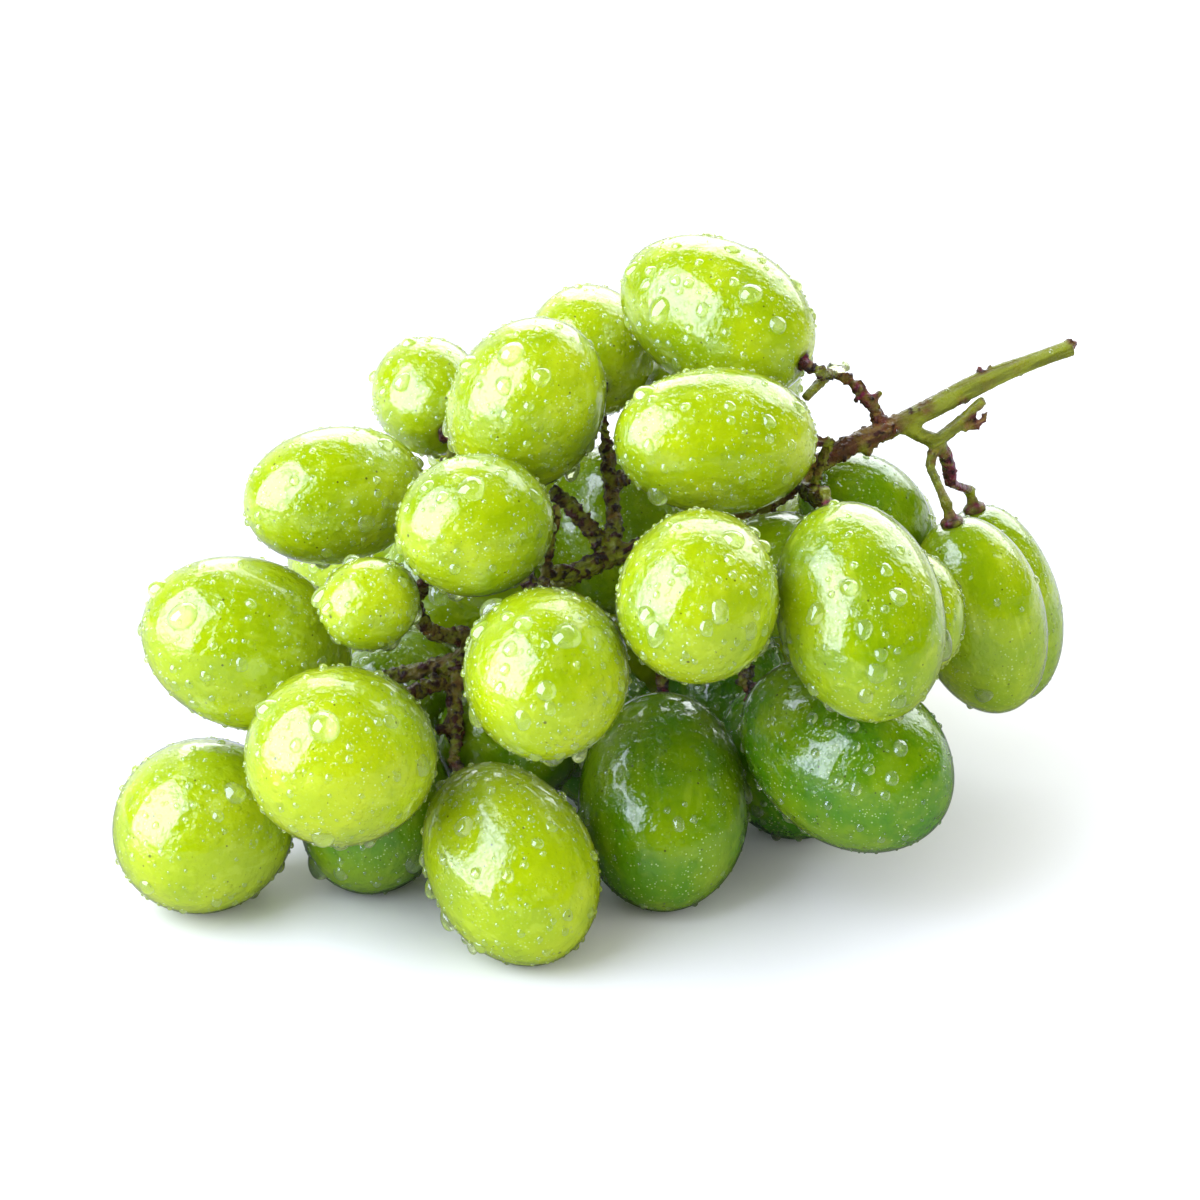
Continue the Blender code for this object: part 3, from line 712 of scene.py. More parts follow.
class WaterMesh:
    """Gathers the drops' points and faces for one mesh."""

    # A face is bright if the sum of how much its two sides face the window is below this.
    BRIGHT_BELOW = -0.9

    def __init__(self):
        self.points = []
        self.faces = []
        self.bright = []

    def add_drop(self, points, sides, rings, lit):
        """Adds a closed dome from its points; lit says how much each side faces the window."""
        start = len(self.points)
        self.points.extend(points.tolist())
        far = [lit[side] + lit[(side + 1) % sides] < self.BRIGHT_BELOW for side in range(sides)]
        for side in range(sides):
            self.faces.append((start, start + 1 + side, start + 1 + (side + 1) % sides))
            self.bright.append(False)
        for ring in range(rings - 1):
            inner = start + 1 + ring * sides
            outer = inner + sides
            for side in range(sides):
                after = (side + 1) % sides
                self.faces.append((inner + side, outer + side, outer + after, inner + after))
                self.bright.append(far[side] and ring >= rings // 3)
        rim = start + 1 + (rings - 1) * sides
        self.faces.append(tuple(rim + side for side in reversed(range(sides))))
        self.bright.append(False)

    def to_object(self, name, materials):
        points = np.clip(self.points, *box_corners())
        obj = new_mesh_object(name, points, self.faces)
        for material in materials:
            obj.data.materials.append(material)
        if len(obj.data.polygons) != len(self.bright):
            raise RuntimeError(f"{name} lost faces")
        obj.data.polygons.foreach_set("material_index", np.array(self.bright, np.int32))
        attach(obj, "root")


class Drop:
    """One drop: where it lies, how wide and high it is, and how its edge runs."""

    # How far the rim goes under the skin, and how far the water sags downhill as a share of its height.
    SINK = 0.1
    SAG = 0.35
    # The most that each of two waves moves the edge, as a share of the radius.
    WOBBLE = 0.1
    # Fewest and most sides and rings of faces.
    SIDES = (8, 24)
    RINGS = (3, 8)
    # Below this steepness the skin counts as level.
    LEVEL = 0.05
    # How sharply a stretched drop's uphill side narrows, and the share of the radius from which it is rim.
    TAIL = 1.5
    RIM = 0.999
    # Keeps the window's share of the light in bounds on a skin that faces it.
    LEAST_SLANT = 0.2

    def __init__(self, place, normal, radius, height, random, stretch=0.0, pull=None):
        self.place = place
        self.normal = normal
        self.radius = radius
        self.height = height
        down = np.array((0.0, 0.0, -1.0))
        flow = down - normal * (down @ normal)
        self.steepness = np.linalg.norm(flow)
        if self.steepness < self.LEVEL:
            flow = np.cross(normal, (1.0, 0.0, 0.0))
        self.flow = unit(flow)
        self.side = np.cross(normal, self.flow)
        self.stretch = stretch
        self.pull = normal if pull is None else pull
        self.wobble = random.uniform(0.0, self.WOBBLE, 2)
        self.turn = random.uniform(0, 2 * math.pi, 2)

    def mesh_into(self, water, ground):
        """Builds the drop on the surface that ground() lays points on."""
        sides = int(np.clip(round(6 + 12 * self.radius), *self.SIDES))
        rings = int(np.clip(round(2 + 4 * self.radius), *self.RINGS))
        angle = np.linspace(0, 2 * math.pi, sides, endpoint=False)
        edge = 1 + self.wobble[0] * np.cos(2 * angle + self.turn[0])
        edge += self.wobble[1] * np.cos(3 * angle + self.turn[1])
        edge += self.stretch * np.maximum(-np.cos(angle), 0) ** self.TAIL
        shares = np.sin(np.linspace(0, math.pi / 2, rings + 1))[1:]
        across = self.radius * np.concatenate(([0], np.outer(shares, edge * np.sin(angle)).ravel()))
        along = self.radius * np.concatenate(([0], np.outer(shares, edge * np.cos(angle)).ravel()))
        share = np.concatenate(([0], np.repeat(shares, sides)))
        base = ground(self.place + across[:, None] * self.side + along[:, None] * self.flow)
        ball = (self.radius**2 + self.height**2) / (2 * self.height)
        rise = np.sqrt(np.maximum(ball**2 - (share * self.radius) ** 2, 0)) - (ball - self.height)
        if self.height > self.radius:
            rise = self.height * np.sqrt(np.maximum(1 - share**2, 0))
        rise = np.where(share > self.RIM, -self.SINK, rise)
        sag = self.SAG * self.steepness * rise
        lift = rise[:, None] * self.pull + np.maximum(sag, 0)[:, None] * self.flow
        window = unit(np.array(WINDOW_WAY))
        lit = np.sin(angle) * (self.side @ window) + np.cos(angle) * (self.flow @ window)
        lit /= max(math.hypot(self.side @ window, self.flow @ window), self.LEAST_SLANT)
        water.add_drop(base + lift, sides, rings, lit)


# Each kind of drop: its setting, its smallest and largest radius, and whether it gathers in patches.
DROP_KINDS = (
    ("large_drops", 0.6, 1.6, False),
    ("small_drops", 0.3, 0.6, False),
    ("fine_drops", 0.14, 0.3, True),
)

# The photograph's middle column and row, and its pixels to a millimetre at the bunch's middle.
PHOTO_MIDDLE = 600.0
PHOTO_SCALE = 8.0

# The larger drops that the photograph shows: column and row in its pixels, and radius in millimetres.
SEEN_DROPS = (
    (657, 315, 1.4), (645, 286, 0.85), (661, 272, 0.5), (661, 290, 0.5), (675, 280, 0.8), (688, 282, 0.8),
    (699, 261, 0.6), (718, 282, 0.5), (734, 281, 0.7), (726, 313, 0.6), (726, 333, 0.6), (758, 321, 0.5),
    (764, 328, 0.9), (688, 329, 0.6), (686, 340, 0.7), (657, 345, 0.6), (632, 348, 0.4), (629, 271, 1.1),
    (733, 247, 1.1), (762, 259, 0.7), (796, 284, 1.0), (817, 315, 0.8), (678, 243, 0.8), (641, 257, 0.5),
    (770, 422, 0.9), (731, 405, 0.8), (732, 420, 0.6), (746, 414, 0.5), (669, 423, 0.6), (669, 405, 0.6),
    (687, 405, 0.7), (649, 446, 0.9), (694, 461, 0.4), (701, 396, 0.5), (675, 365, 0.8), (818, 454, 0.9),
    (644, 391, 1.5), (679, 570, 0.9), (656, 595, 0.5), (646, 616, 1.2), (654, 638, 1.2), (721, 616, 1.1),
    (707, 630, 0.85), (731, 559, 0.8), (733, 574, 0.6), (752, 634, 0.9), (685, 655, 0.6), (699, 688, 0.9),
    (634, 687, 1.1), (849, 587, 1.2), (899, 596, 1.25), (887, 570, 0.9), (831, 594, 0.5), (828, 579, 0.4),
    (854, 565, 0.6), (853, 613, 0.6), (864, 632, 1.0), (881, 655, 0.9), (865, 697, 1.0), (901, 549, 0.7),
    (885, 609, 0.6), (814, 616, 1.2), (800, 661, 0.4), (811, 718, 0.8), (827, 721, 0.6), (901, 749, 1.0),
    (855, 746, 0.7), (869, 769, 0.8), (892, 779, 0.9), (837, 781, 0.7), (855, 790, 0.8), (885, 795, 0.7),
    (827, 806, 0.6), (814, 753, 0.6), (850, 739, 0.5), (509, 354, 1.8), (467, 365, 1.4), (478, 384, 0.55),
    (502, 387, 1.1), (528, 408, 0.7), (400, 381, 1.3), (418, 377, 0.5), (381, 392, 0.8), (472, 488, 1.7),
    (442, 497, 0.85), (442, 448, 1.75), (399, 548, 1.0), (522, 623, 1.3), (506, 615, 1.0), (568, 634, 1.9),
    (509, 648, 1.0), (545, 643, 0.65), (503, 668, 0.8), (548, 624, 0.7), (530, 650, 0.5), (522, 724, 1.0),
    (550, 710, 0.8), (535, 758, 0.9), (560, 757, 0.8), (301, 497, 0.45), (294, 481, 0.7), (313, 479, 0.5),
    (377, 480, 0.6), (370, 461, 0.6), (378, 494, 0.6), (313, 567, 0.9), (327, 554, 0.8), (258, 516, 0.6),
    (182, 616, 1.9), (196, 641, 0.4), (214, 646, 0.6), (252, 603, 0.75), (249, 618, 0.5), (319, 598, 1.3),
    (173, 670, 0.6), (189, 686, 0.6), (175, 688, 0.7), (194, 705, 0.7), (212, 700, 0.5), (167, 682, 0.5),
    (324, 727, 2.0), (296, 745, 0.9), (267, 709, 1.5), (412, 691, 1.5), (334, 701, 0.4), (351, 714, 0.4),
    (368, 730, 0.5), (385, 702, 0.5), (350, 747, 0.6), (323, 662, 0.8), (364, 661, 0.8), (235, 793, 1.5),
    (147, 799, 0.5), (145, 815, 0.45), (189, 786, 0.6), (215, 791, 0.4), (155, 825, 0.5), (185, 819, 0.4),
    (474, 801, 0.6), (479, 818, 0.6), (462, 828, 1.2), (469, 785, 1.0), (491, 790, 0.7), (447, 780, 0.4),
    (538, 843, 0.8), (531, 818, 0.6), (553, 826, 0.8), (507, 876, 0.9), (525, 865, 0.5), (427, 892, 1.2),
    (445, 925, 1.2), (480, 948, 1.0), (594, 855, 0.8), (587, 821, 0.6), (592, 913, 0.8), (465, 757, 1.5),
    (679, 826, 0.8), (667, 810, 0.5), (685, 804, 0.4), (749, 795, 1.1), (340, 874, 1.0),
)

# The berries that some of the water has run off, and the share that is left on them.
DRIER = {
    "berry_12": 0.5,
    "berry_16": 0.35,
    "berry_17": 0.7,
    "berry_20": 0.22,
    "berry_21": 0.3,
    "berry_22": 0.35,
}

# How far a drop keeps off the floor, the stem, other drops and other berries, in millimetres; for the last,
# a share of its radius is added.
FLOOR_GAP = 0.3
STEM_GAP = 1.0
DROP_GAP = 0.06
BERRY_GAP = 0.25
BERRY_GAP_SHARE = 0.4


def is_clear(place, radius, height, normal, others, stem_tree):
    """True if a drop here keeps off the other berries, the stem and the floor."""
    if place[2] < radius + FLOOR_GAP:
        return False
    top = (place + normal * height)[None, :]
    for other in others:
        if other.clearance(top)[0] < BERRY_GAP + BERRY_GAP_SHARE * radius:
            return False
    _, _, away = stem_tree.find(Vector(place))
    return away > radius + STEM_GAP


def point_tree(points):
    tree = kdtree.KDTree(len(points))
    for number, point in enumerate(points):
        tree.insert(Vector(point), number)
    tree.balance()
    return tree


def room_for(place, normal):
    """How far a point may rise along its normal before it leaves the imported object's box."""
    low, high = box_corners()
    with np.errstate(divide="ignore"):
        steps = np.maximum((high - place) / normal, (low - place) / normal)
    return float(steps.min())


# A seen drop that just misses a berry is laid on it, up to this many of its radii from its centre.
NEAR_MISS = 1.1


def seen_spots(forms):
    """The drops that the photograph shows, by the berry that each lies on: its place and its radius."""
    eye = from_sight(0.0, 0.0, -VIEW_DISTANCE)
    found = {form.name: [] for form in forms}
    for column, row, radius in SEEN_DROPS:
        across = (column - PHOTO_MIDDLE) / PHOTO_SCALE
        up = (PHOTO_MIDDLE - row) / PHOTO_SCALE
        way = unit(from_sight(across, up, 0.0) - eye)
        hits = []
        for number, form in enumerate(forms):
            start = ((eye - form.centre) @ form.axes) / form.radii
            step = (way @ form.axes) / form.radii
            nearest = -(start @ step) / (step @ step)
            level = np.linalg.norm(start + nearest * step)
            if level < NEAR_MISS:
                back = math.sqrt(max(1 - level**2, 0) / (step @ step))
                hits.append((bool(level > 1), nearest - back, number))
        if hits:
            _, along, number = min(hits)
            place = forms[number].on_skin((eye + along * way)[None, :])[0]
            found[forms[number].name].append((place, radius))
    return found


# How much the berries' wetness varies, how strongly small drops outnumber large ones of their kind, and the
# fineness and the edge of the patches that the fine drops gather in.
WETNESS = (0.75, 1.25)
SMALLNESS = 1.6
PATCH_FINENESS = 0.28
PATCH_EDGE = 0.25


def drops_to_try(form, seen, settings, random):
    """Each drop to try on a berry: first those that are seen, then others, the largest kind first."""
    yield from seen
    wetness = DRIER.get(form.name, 1.0) * random.uniform(*WETNESS)
    for kind, smallest, largest, patchy in DROP_KINDS:
        for _ in range(round(getattr(settings, kind) * wetness)):
            radius = smallest * (largest / smallest) ** (random.uniform() ** SMALLNESS)
            place = form.surface(random.normal(size=(1, 3)))[0]
            patch = noise.noise(Vector(place) * PATCH_FINENESS)
            if not patchy or patch > random.uniform(-PATCH_EDGE, PATCH_EDGE):
                yield place, radius


# A drop's height as a share of its radius, the flattest that is kept, the share of the free room that it may
# fill, and what its stretch is drawn from.
DROP_HEIGHT = (0.5, 0.8)
FLATTEST = 0.25
ROOM_SHARE = 0.95
STRETCH = (0, 1.1)


def wet_berry(form, others, stem_tree, seen, settings, random, water):
    """Scatters drops over one berry, each clear of the others."""
    spots = np.zeros((0, 3))
    sizes = np.zeros(0)
    for place, radius in drops_to_try(form, seen, settings, random):
        if np.any(np.linalg.norm(spots - place, axis=1) < radius + sizes + DROP_GAP):
            continue
        normal = form.normals_at(place[None, :])[0]
        height = min(radius * random.uniform(*DROP_HEIGHT), ROOM_SHARE * room_for(place, normal))
        if height < FLATTEST * radius or not is_clear(place, radius, height, normal, others, stem_tree):
            continue
        spots = np.vstack((spots, place))
        sizes = np.append(sizes, radius)
        steep = 1 - abs(normal[2])
        stretch = random.uniform(*STRETCH) ** 2 * steep * min(1.0, radius)
        Drop(place, normal, radius, height, random, stretch).mesh_into(water, form.on_skin)


# A drip: how far it hangs from straight below, its radius, its height as a share of that, its stretch, its
# pull down, and how far it keeps off the floor.
DRIP_LEAN = (0.35, 0.7)
DRIP_RADIUS = (0.8, 1.25)
DRIP_HEIGHT = (0.9, 1.2)
DRIP_STRETCH = 0.1
DRIP_PULL = (0.0, 0.0, -0.8)
DRIP_FLOOR_GAP = 0.4


def hang_drip(form, others, stem_tree, random, water):
    """One larger drop that hangs low on a berry."""
    heading = random.uniform(0, 2 * math.pi)
    lean = random.uniform(*DRIP_LEAN)
    out = np.array((lean * math.cos(heading), lean * math.sin(heading), -math.sqrt(1 - lean**2)))
    place = form.on_skin((form.centre + out * form.radii[0])[None, :])[0]
    normal = form.normals_at(place[None, :])[0]
    radius = random.uniform(*DRIP_RADIUS)
    height = radius * random.uniform(*DRIP_HEIGHT)
    if not is_clear(place, radius, height, normal, others, stem_tree):
        return
    if place[2] < height + radius + DRIP_FLOOR_GAP or room_for(place, normal) < height:
        return
    pull = unit(normal + DRIP_PULL)
    Drop(place, normal, radius, height, random, DRIP_STRETCH, pull).mesh_into(water, form.on_skin)


# A large clear drop that sits on the branch to the topmost berry: its place along the line of sight.
BRANCH_DROP = (30.0, 29.25, 3.8)
BRANCH_DROP_RADIUS = 1.5
BRANCH_DROP_HEIGHT = 1.1

# The stem's small drops: radius, height as a share of it, how far they sink in, and the gap to a berry.
STEM_DROP_RADIUS = (0.16, 0.42)
STEM_DROP_HEIGHT = 0.7
STEM_DROP_SINK = 0.1
STEM_DROP_GAP = 0.4

# A berry's drops keep off one in this many of the stem's points.
STEM_THINNING = 12
# How far apart two berries may be for the drops of one to reach the other, in millimetres.
REACH_MARGIN = 4.0


def as_they_are(points):
    return points


def wet_stem(forms, settings, random, water):
    """Small drops on the stem, and a large one on a branch."""
    data = bpy.data.objects["stalks"].data
    picks = random.integers(0, len(data.vertices), settings.stem_drops)
    for pick in picks:
        place = np.array(data.vertices[int(pick)].co) / MM
        normal = np.array(data.vertices[int(pick)].normal)
        radius = random.uniform(*STEM_DROP_RADIUS)
        top = (place + normal * radius)[None, :]
        gap = min(form.clearance(top)[0] for form in forms)
        if gap < STEM_DROP_GAP or room_for(place, normal) < radius:
            continue
        sunk = place - STEM_DROP_SINK * normal
        Drop(sunk, normal, radius, radius * STEM_DROP_HEIGHT, random).mesh_into(water, as_they_are)
    up = np.array((0.0, 0.0, 1.0))
    large = Drop(from_sight(*BRANCH_DROP), up, BRANCH_DROP_RADIUS, BRANCH_DROP_HEIGHT, random)
    large.mesh_into(water, as_they_are)


def neighbours(form, forms):
    """The berries that are near enough for this one's drops to reach."""
    reach = form.radii[2] + REACH_MARGIN
    found = []
    for other in forms:
        near_by = np.linalg.norm(other.centre - form.centre) < reach + other.radii[2]
        if other is not form and near_by:
            found.append(other)
    return found


class GRAPES_OT_make_water(bpy.types.Operator):
    """Scatter drops of water over the berries"""

    bl_idname = "grapes.make_water"
    bl_label = "Make Water"

    def execute(self, context):
        settings = context.scene.grape_water
        random = np.random.default_rng(settings.seed)
        forms = berry_forms(context.scene.grape_berries)
        stem_tree = point_tree(mesh_points(bpy.data.objects["stalks"].data)[::STEM_THINNING])
        seen = seen_spots(forms)
        materials = (water_material(), bright_water_material())
        for form in forms:
            water = WaterMesh()
            others = neighbours(form, forms)
            wet_berry(form, others, stem_tree, seen[form.name], settings, random, water)
            hang_drip(form, others, stem_tree, random, water)
            water.to_object(form.name.replace("berry", "drops"), materials)
        water = WaterMesh()
        wet_stem(forms, settings, random, water)
        water.to_object("stem_drops", materials)
        return {"FINISHED"}


# Stem.


# Stained places along the line of sight, each with its reach, how woody it is and how wine red.
STAINS = (
    ((35.0, 21.1, 4.6), 5.0, 1.0, 0.15),
    ((34.4, 23.6, 4.4), 3.0, 1.1, 0.2),
    ((33.0, 26.2, 4.2), 3.0, 1.1, 0.85),
    ((31.2, 27.8, 4.0), 3.0, 1.2, 0.15),
    ((28.6, 28.6, 3.8), 2.4, 1.1, 0.1),
    ((30.0, 18.5, 3.0), 5.5, 0.9, 0.1),
    ((24.0, 14.0, 1.8), 6.0, 1.0, 0.25),
    ((41.2, 24.2, 5.4), 1.6, 0.6, 0.3),
    ((48.3, 29.4, 7.2), 1.5, 0.9, 0.8),
    ((60.0, 32.6, 8.0), 1.5, 1.0, 0.5),
    ((48.9, 25.8, 5.6), 1.4, 1.0, 0.8),
    ((48.0, 22.9, 6.0), 2.6, 1.2, 0.5),
    ((44.4, 16.6, 10.5), 5.4, 0.6, 1.7),
    ((45.0, 13.2, 15.0), 6.0, 0.5, 1.7),
    ((46.4, 22.4, 6.2), 1.6, 0.3, 0.5),
    ((45.6, 25.2, 6.2), 1.2, 0.9, 0.5),
    ((42.4, 18.4, 6.2), 1.6, 0.3, 0.5),
    ((29.8, 13.0, 1.0), 2.2, 0.8, 1.0),
)

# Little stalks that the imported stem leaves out: two ends along the line of sight, each with its radius.
SPURS = (
    ((28.6, 28.3, 3.5), 0.75, (25.6, 25.2, 0.4), 0.6),
    ((48.1, 28.3, 7.2), 0.5, (47.9, 29.7, 7.0), 0.28),
    ((49.0, 28.8, 7.2), 0.5, (49.3, 29.7, 7.2), 0.25),
    ((59.6, 32.2, 8.0), 0.8, (60.3, 33.0, 8.0), 0.3),
    ((45.8, 21.6, 6.0), 0.6, (48.3, 22.6, 6.2), 0.5),
    ((48.3, 22.6, 6.2), 0.55, (48.9, 23.9, 6.4), 0.3),
    ((48.0, 22.5, 6.2), 0.5, (47.6, 21.6, 6.0), 0.3),
    ((33.0, 26.4, 4.2), 0.7, (32.0, 25.0, 3.4), 0.4),
    ((34.4, 25.2, 4.4), 0.7, (35.4, 26.3, 4.2), 0.35),
    ((44.6, 16.0, 11.0), 0.8, (43.6, 15.9, 10.4), 0.5),
)

# Where the bark is still green among the woody parts: a place along the line of sight, and its reach.
FRESH_SPOTS = (
    ((26.4, 26.0, 1.4), 3.0),
    ((38.4, 22.6, 4.8), 1.4),
    ((33.0, 19.2, 3.4), 1.2),
    ((29.0, 16.2, 2.2), 1.2),
)

# The way along the cut stalk, and how much slower the bark's grain changes along it than across it.
GRAIN_WAY = from_sight(59.8, 32.0, 8.0) - from_sight(27.8, 17.8, 2.4)
GRAIN_STRETCH = 0.86

# The stem is fresh beyond the first of these places along X, in millimetres, and up to the second it is at
# least this woody.
FRESH_FROM = 38.0
WOODY_AT = 26.0
INNER_AGE = 0.5

# How far a spot's strength would pass 1 in its middle; it is cut off there.
SPOT_EXCESS = 0.4

# How fine and how strong the patches are that break up the wine red, and its reach round a berry's disc.
WINE_FINENESS = 1.3
WINE_SWING = 1.6
POLE_WINE = 1.1
POLE_WINE_REACH = 2.6


def inner_share(points):
    """0 on the fresh cut stalk and 1 in the dark middle of the bunch."""
    return np.clip((FRESH_FROM - points[:, 0]) / (FRESH_FROM - WOODY_AT), 0, 1)


def near(points, place, reach):
    """1 round a place, falling to 0 at its reach."""
    fall = 1 + SPOT_EXCESS
    return np.clip(fall - fall * np.linalg.norm(points - place, axis=1) / reach, 0, 1)


def fresh_share(points):
    """1 where the bark is still green among the woody parts."""
    return np.max([near(points, from_sight(*spot), reach) for spot, reach in FRESH_SPOTS], axis=0)


def stained(points, forms):
    """How woody and how wine red the stem is at each point."""
    ages = INNER_AGE * inner_share(points)
    wines = np.zeros(len(points))
    for spot, reach, woody, wine in STAINS:
        share = near(points, from_sight(*spot), reach)
        ages = np.maximum(ages, share * woody)
        wines = np.maximum(wines, share * wine)
    patchy = np.array([noise.noise(Vector(point) * WINE_FINENESS) for point in points])
    wines *= 1 + WINE_SWING * patchy
    for form in forms:
        pole = form.pole()
        wines = np.maximum(wines, (POLE_WINE + patchy) * near(points, pole, POLE_WINE_REACH))
    return ages * (1 - fresh_share(points)), np.clip(wines, 0, 1)


# How thick each stalk may be at these distances from its berry, behind the disc, and how far out it counts.
NECK_AT = (0.6, 0.95, 2.0, 2.7)
NECK_RADIUS = (1.6, 0.85, 0.6, 0.75)
NECK_REACH = 1.9

# Discs that are smaller than the others, as shares of their width, from this far inside the dimple.
SMALL_DISCS = {"berry_01": 0.6}
DISC_FROM = -1.5


def with_slim_necks(points, forms):
    """Draws the stalks in behind their discs."""
    points = points.copy()
    for form in forms:
        pole = form.pole()
        axis = -form.axes[:, 2]
        offset = points - pole
        along = offset @ axis
        spoke = offset - along[:, None] * axis
        away = np.linalg.norm(spoke, axis=1)
        disc = SMALL_DISCS.get(form.name, 1.0)
        wide = np.interp(along, NECK_AT, NECK_RADIUS) * np.where(along < NECK_AT[1], disc, 1.0)
        behind = (along > NECK_AT[0]) | ((disc < 1) & (along > DISC_FROM))
        inside = behind & (along < NECK_AT[-1]) & (away < NECK_REACH) & (away > wide)
        points[inside] -= spoke[inside] * (1 - wide[inside] / away[inside])[:, None]
    return points


# How fine the bark's patches, grain and ridges are, to a millimetre.
PATCHES = 0.4
GRAIN = 1.1
RIDGES = 1.9

# Where a patch and its crumbs start to carry crust on fresh bark, how much sooner on old bark and in the
# dark middle of the bunch, and how soft the edges are.
PATCH_START = 0.68
PATCH_AGE = 0.46
PATCH_SOFT = 0.1
CRUMB_START = 0.42
CRUMB_AGE = 0.12
CRUMB_INNER = 0.24
CRUMB_SOFT = 0.12

# Heights: the crust's own as a share of the setting, what ridges add to that, ridges in bare bark, what age
# adds to them, and the grain.
CRUST_SHARE = 0.5
CRUST_RIDGES = 0.7
RIDGE_HEIGHT = 0.06
RIDGE_AGE = 0.2
GRAIN_HEIGHT = 0.2


def rough_stem(points, normals, ages, settings):
    """Raises crusts, warts and ridges on the stem; returns the moved points and where the crust is."""
    moved = points.copy()
    crusts = np.zeros(len(points))
    inner = inner_share(points) * (1 - fresh_share(points))
    worn = np.maximum(ages, inner)
    for number, (point, normal) in enumerate(zip(points, normals)):
        age = worn[number]
        patch = noise.noise(Vector(point) * PATCHES) * 0.5 + 0.5
        grain = noise.turbulence(Vector(point) * GRAIN, 3, False)
        ridge = noise.noise(Vector(point) * RIDGES)
        wide = patch - PATCH_START + PATCH_AGE * age
        crumb = grain - CRUMB_START + CRUMB_AGE * age + CRUMB_INNER * inner[number] ** 2
        crust = float(np.clip(wide / PATCH_SOFT, 0, 1)) * float(np.clip(crumb / CRUMB_SOFT, 0, 1))
        rise = settings.crust_height * crust * (CRUST_SHARE + CRUST_RIDGES * abs(ridge))
        rise += (RIDGE_HEIGHT + RIDGE_AGE * age) * ridge + GRAIN_HEIGHT * (grain - 0.5) * age
        moved[number] = point + normal * rise
        crusts[number] = crust
    return moved, crusts


# A way that no stalk runs along.
ASKEW = (0.3, 0.5, 0.81)


def add_tube(mesh, rings, sides=12):
    """Adds a closed tube through rings of (middle, way, radius)."""
    rows = []
    for middle, way, radius in rings:
        first = unit(np.cross(way, ASKEW))
        second = np.cross(unit(way), first)
        row = []
        for side in range(sides):
            turn = 2 * math.pi * side / sides
            place = middle + radius * (math.cos(turn) * first + math.sin(turn) * second)
            row.append(mesh.verts.new(place * MM))
        rows.append(row)
    for inner, outer in zip(rows, rows[1:]):
        for side in range(sides):
            after = (side + 1) % sides
            mesh.faces.new((inner[side], inner[after], outer[after], outer[side]))
    mesh.faces.new(list(reversed(rows[0])))
    mesh.faces.new(rows[-1])


# The disc on each berry's stalk: places along the berry's axis from its pole, each with its radius.
DISC = ((-1.5, 0.75), (-0.75, 1.1), (-0.55, 1.5), (-0.05, 1.6), (0.1, 1.2), (0.4, 1.0))


def add_discs(mesh, forms):
    """Ends each stalk in a flat disc that reaches into the dimple of its berry."""
    for form in forms:
        pole = form.pole()
        axis = form.axes[:, 2]
        add_tube(mesh, [(pole + axis * along, axis, radius) for along, radius in DISC])


def add_spurs(mesh):
    """Adds the little stalks."""
    for first, first_radius, second, second_radius in SPURS:
        start = from_sight(*first)
        end = from_sight(*second)
        add_tube(mesh, [(start, end - start, first_radius), (end, end - start, second_radius)])


def remeshed(obj, size):
    """The same form in one skin of even faces, its old data removed."""
    modifier = obj.modifiers.new("Remesh", "REMESH")
    modifier.mode = "VOXEL"
    modifier.voxel_size = size
    smooth = obj.modifiers.new("Smooth", "SMOOTH")
    smooth.iterations = 4
    smooth.factor = 0.5
    graph = bpy.context.evaluated_depsgraph_get()
    data = bpy.data.meshes.new_from_object(obj.evaluated_get(graph))
    obj.modifiers.clear()
    old = obj.data
    obj.data = data
    bpy.data.meshes.remove(old)


class GRAPES_OT_make_stem(bpy.types.Operator):
    """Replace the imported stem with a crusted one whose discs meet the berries"""

    bl_idname = "grapes.make_stem"
    bl_label = "Make Stem"

    def execute(self, context):
        settings = context.scene.grape_stem
        mesh = bmesh.new()
        mesh.from_mesh(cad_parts[STEM_NODE].data)
        bmesh.ops.remove_doubles(mesh, verts=mesh.verts, dist=0.001 * MM)
        forms = berry_forms(context.scene.grape_berries)
        add_discs(mesh, forms)
        add_spurs(mesh)
        data = bpy.data.meshes.new("stalks")
        mesh.to_mesh(data)
        mesh.free()
        obj = bpy.data.objects.new("stalks", data)
        context.scene.collection.objects.link(obj)
        remeshed(obj, settings.fineness * MM)
        data = obj.data
        points = with_slim_necks(mesh_points(data), forms)
        flat = np.empty(len(points) * 3)
        data.vertex_normals.foreach_get("vector", flat)
        normals = flat.reshape(-1, 3)
        ages, wines = stained(points, forms)
        moved, crusts = rough_stem(points, normals, ages, settings)
        moved = np.clip(moved * MM, *np.array(CAD_BOX))
        data.vertices.foreach_set("co", moved.ravel())
        data.update()
        data.shade_smooth()
        along = unit(GRAIN_WAY)
        grain = points - GRAIN_STRETCH * (points @ along)[:, None] * along
        set_attribute(data, LIE, "FLOAT_VECTOR", grain * MM)
        set_attribute(data, CRUST, "FLOAT", crusts)
        set_attribute(data, AGE, "FLOAT", ages)
        set_attribute(data, WINE, "FLOAT", wines)
        data.materials.clear()
        data.materials.append(bark_material(settings))
        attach(obj, "root")
        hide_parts(STEM_NODE)
        return {"FINISHED"}


# Stage.


def aim(obj, target):
    obj.rotation_euler = (target - obj.location).to_track_quat("-Z", "Y").to_euler()


# Each soft light: its name, its way from the bunch, its distance, its width and height, its radiance,
# its colour, and whether glossy things mirror it.
LIGHTS = (
    ("window_light", WINDOW_WAY, 0.55, (0.66, 0.84), 4.8, (0.74, 0.8, 1.0), True),
    ("back_light", (0.3, 0.85, 0.55), 0.7, (1.0, 0.55), 2.6, (0.9, 0.95, 1.0), True),
    ("fill_light", (0.8, -0.6, 0.3), 0.8, (0.6, 0.6), 1.8, (1.0, 1.0, 1.0), False),
)


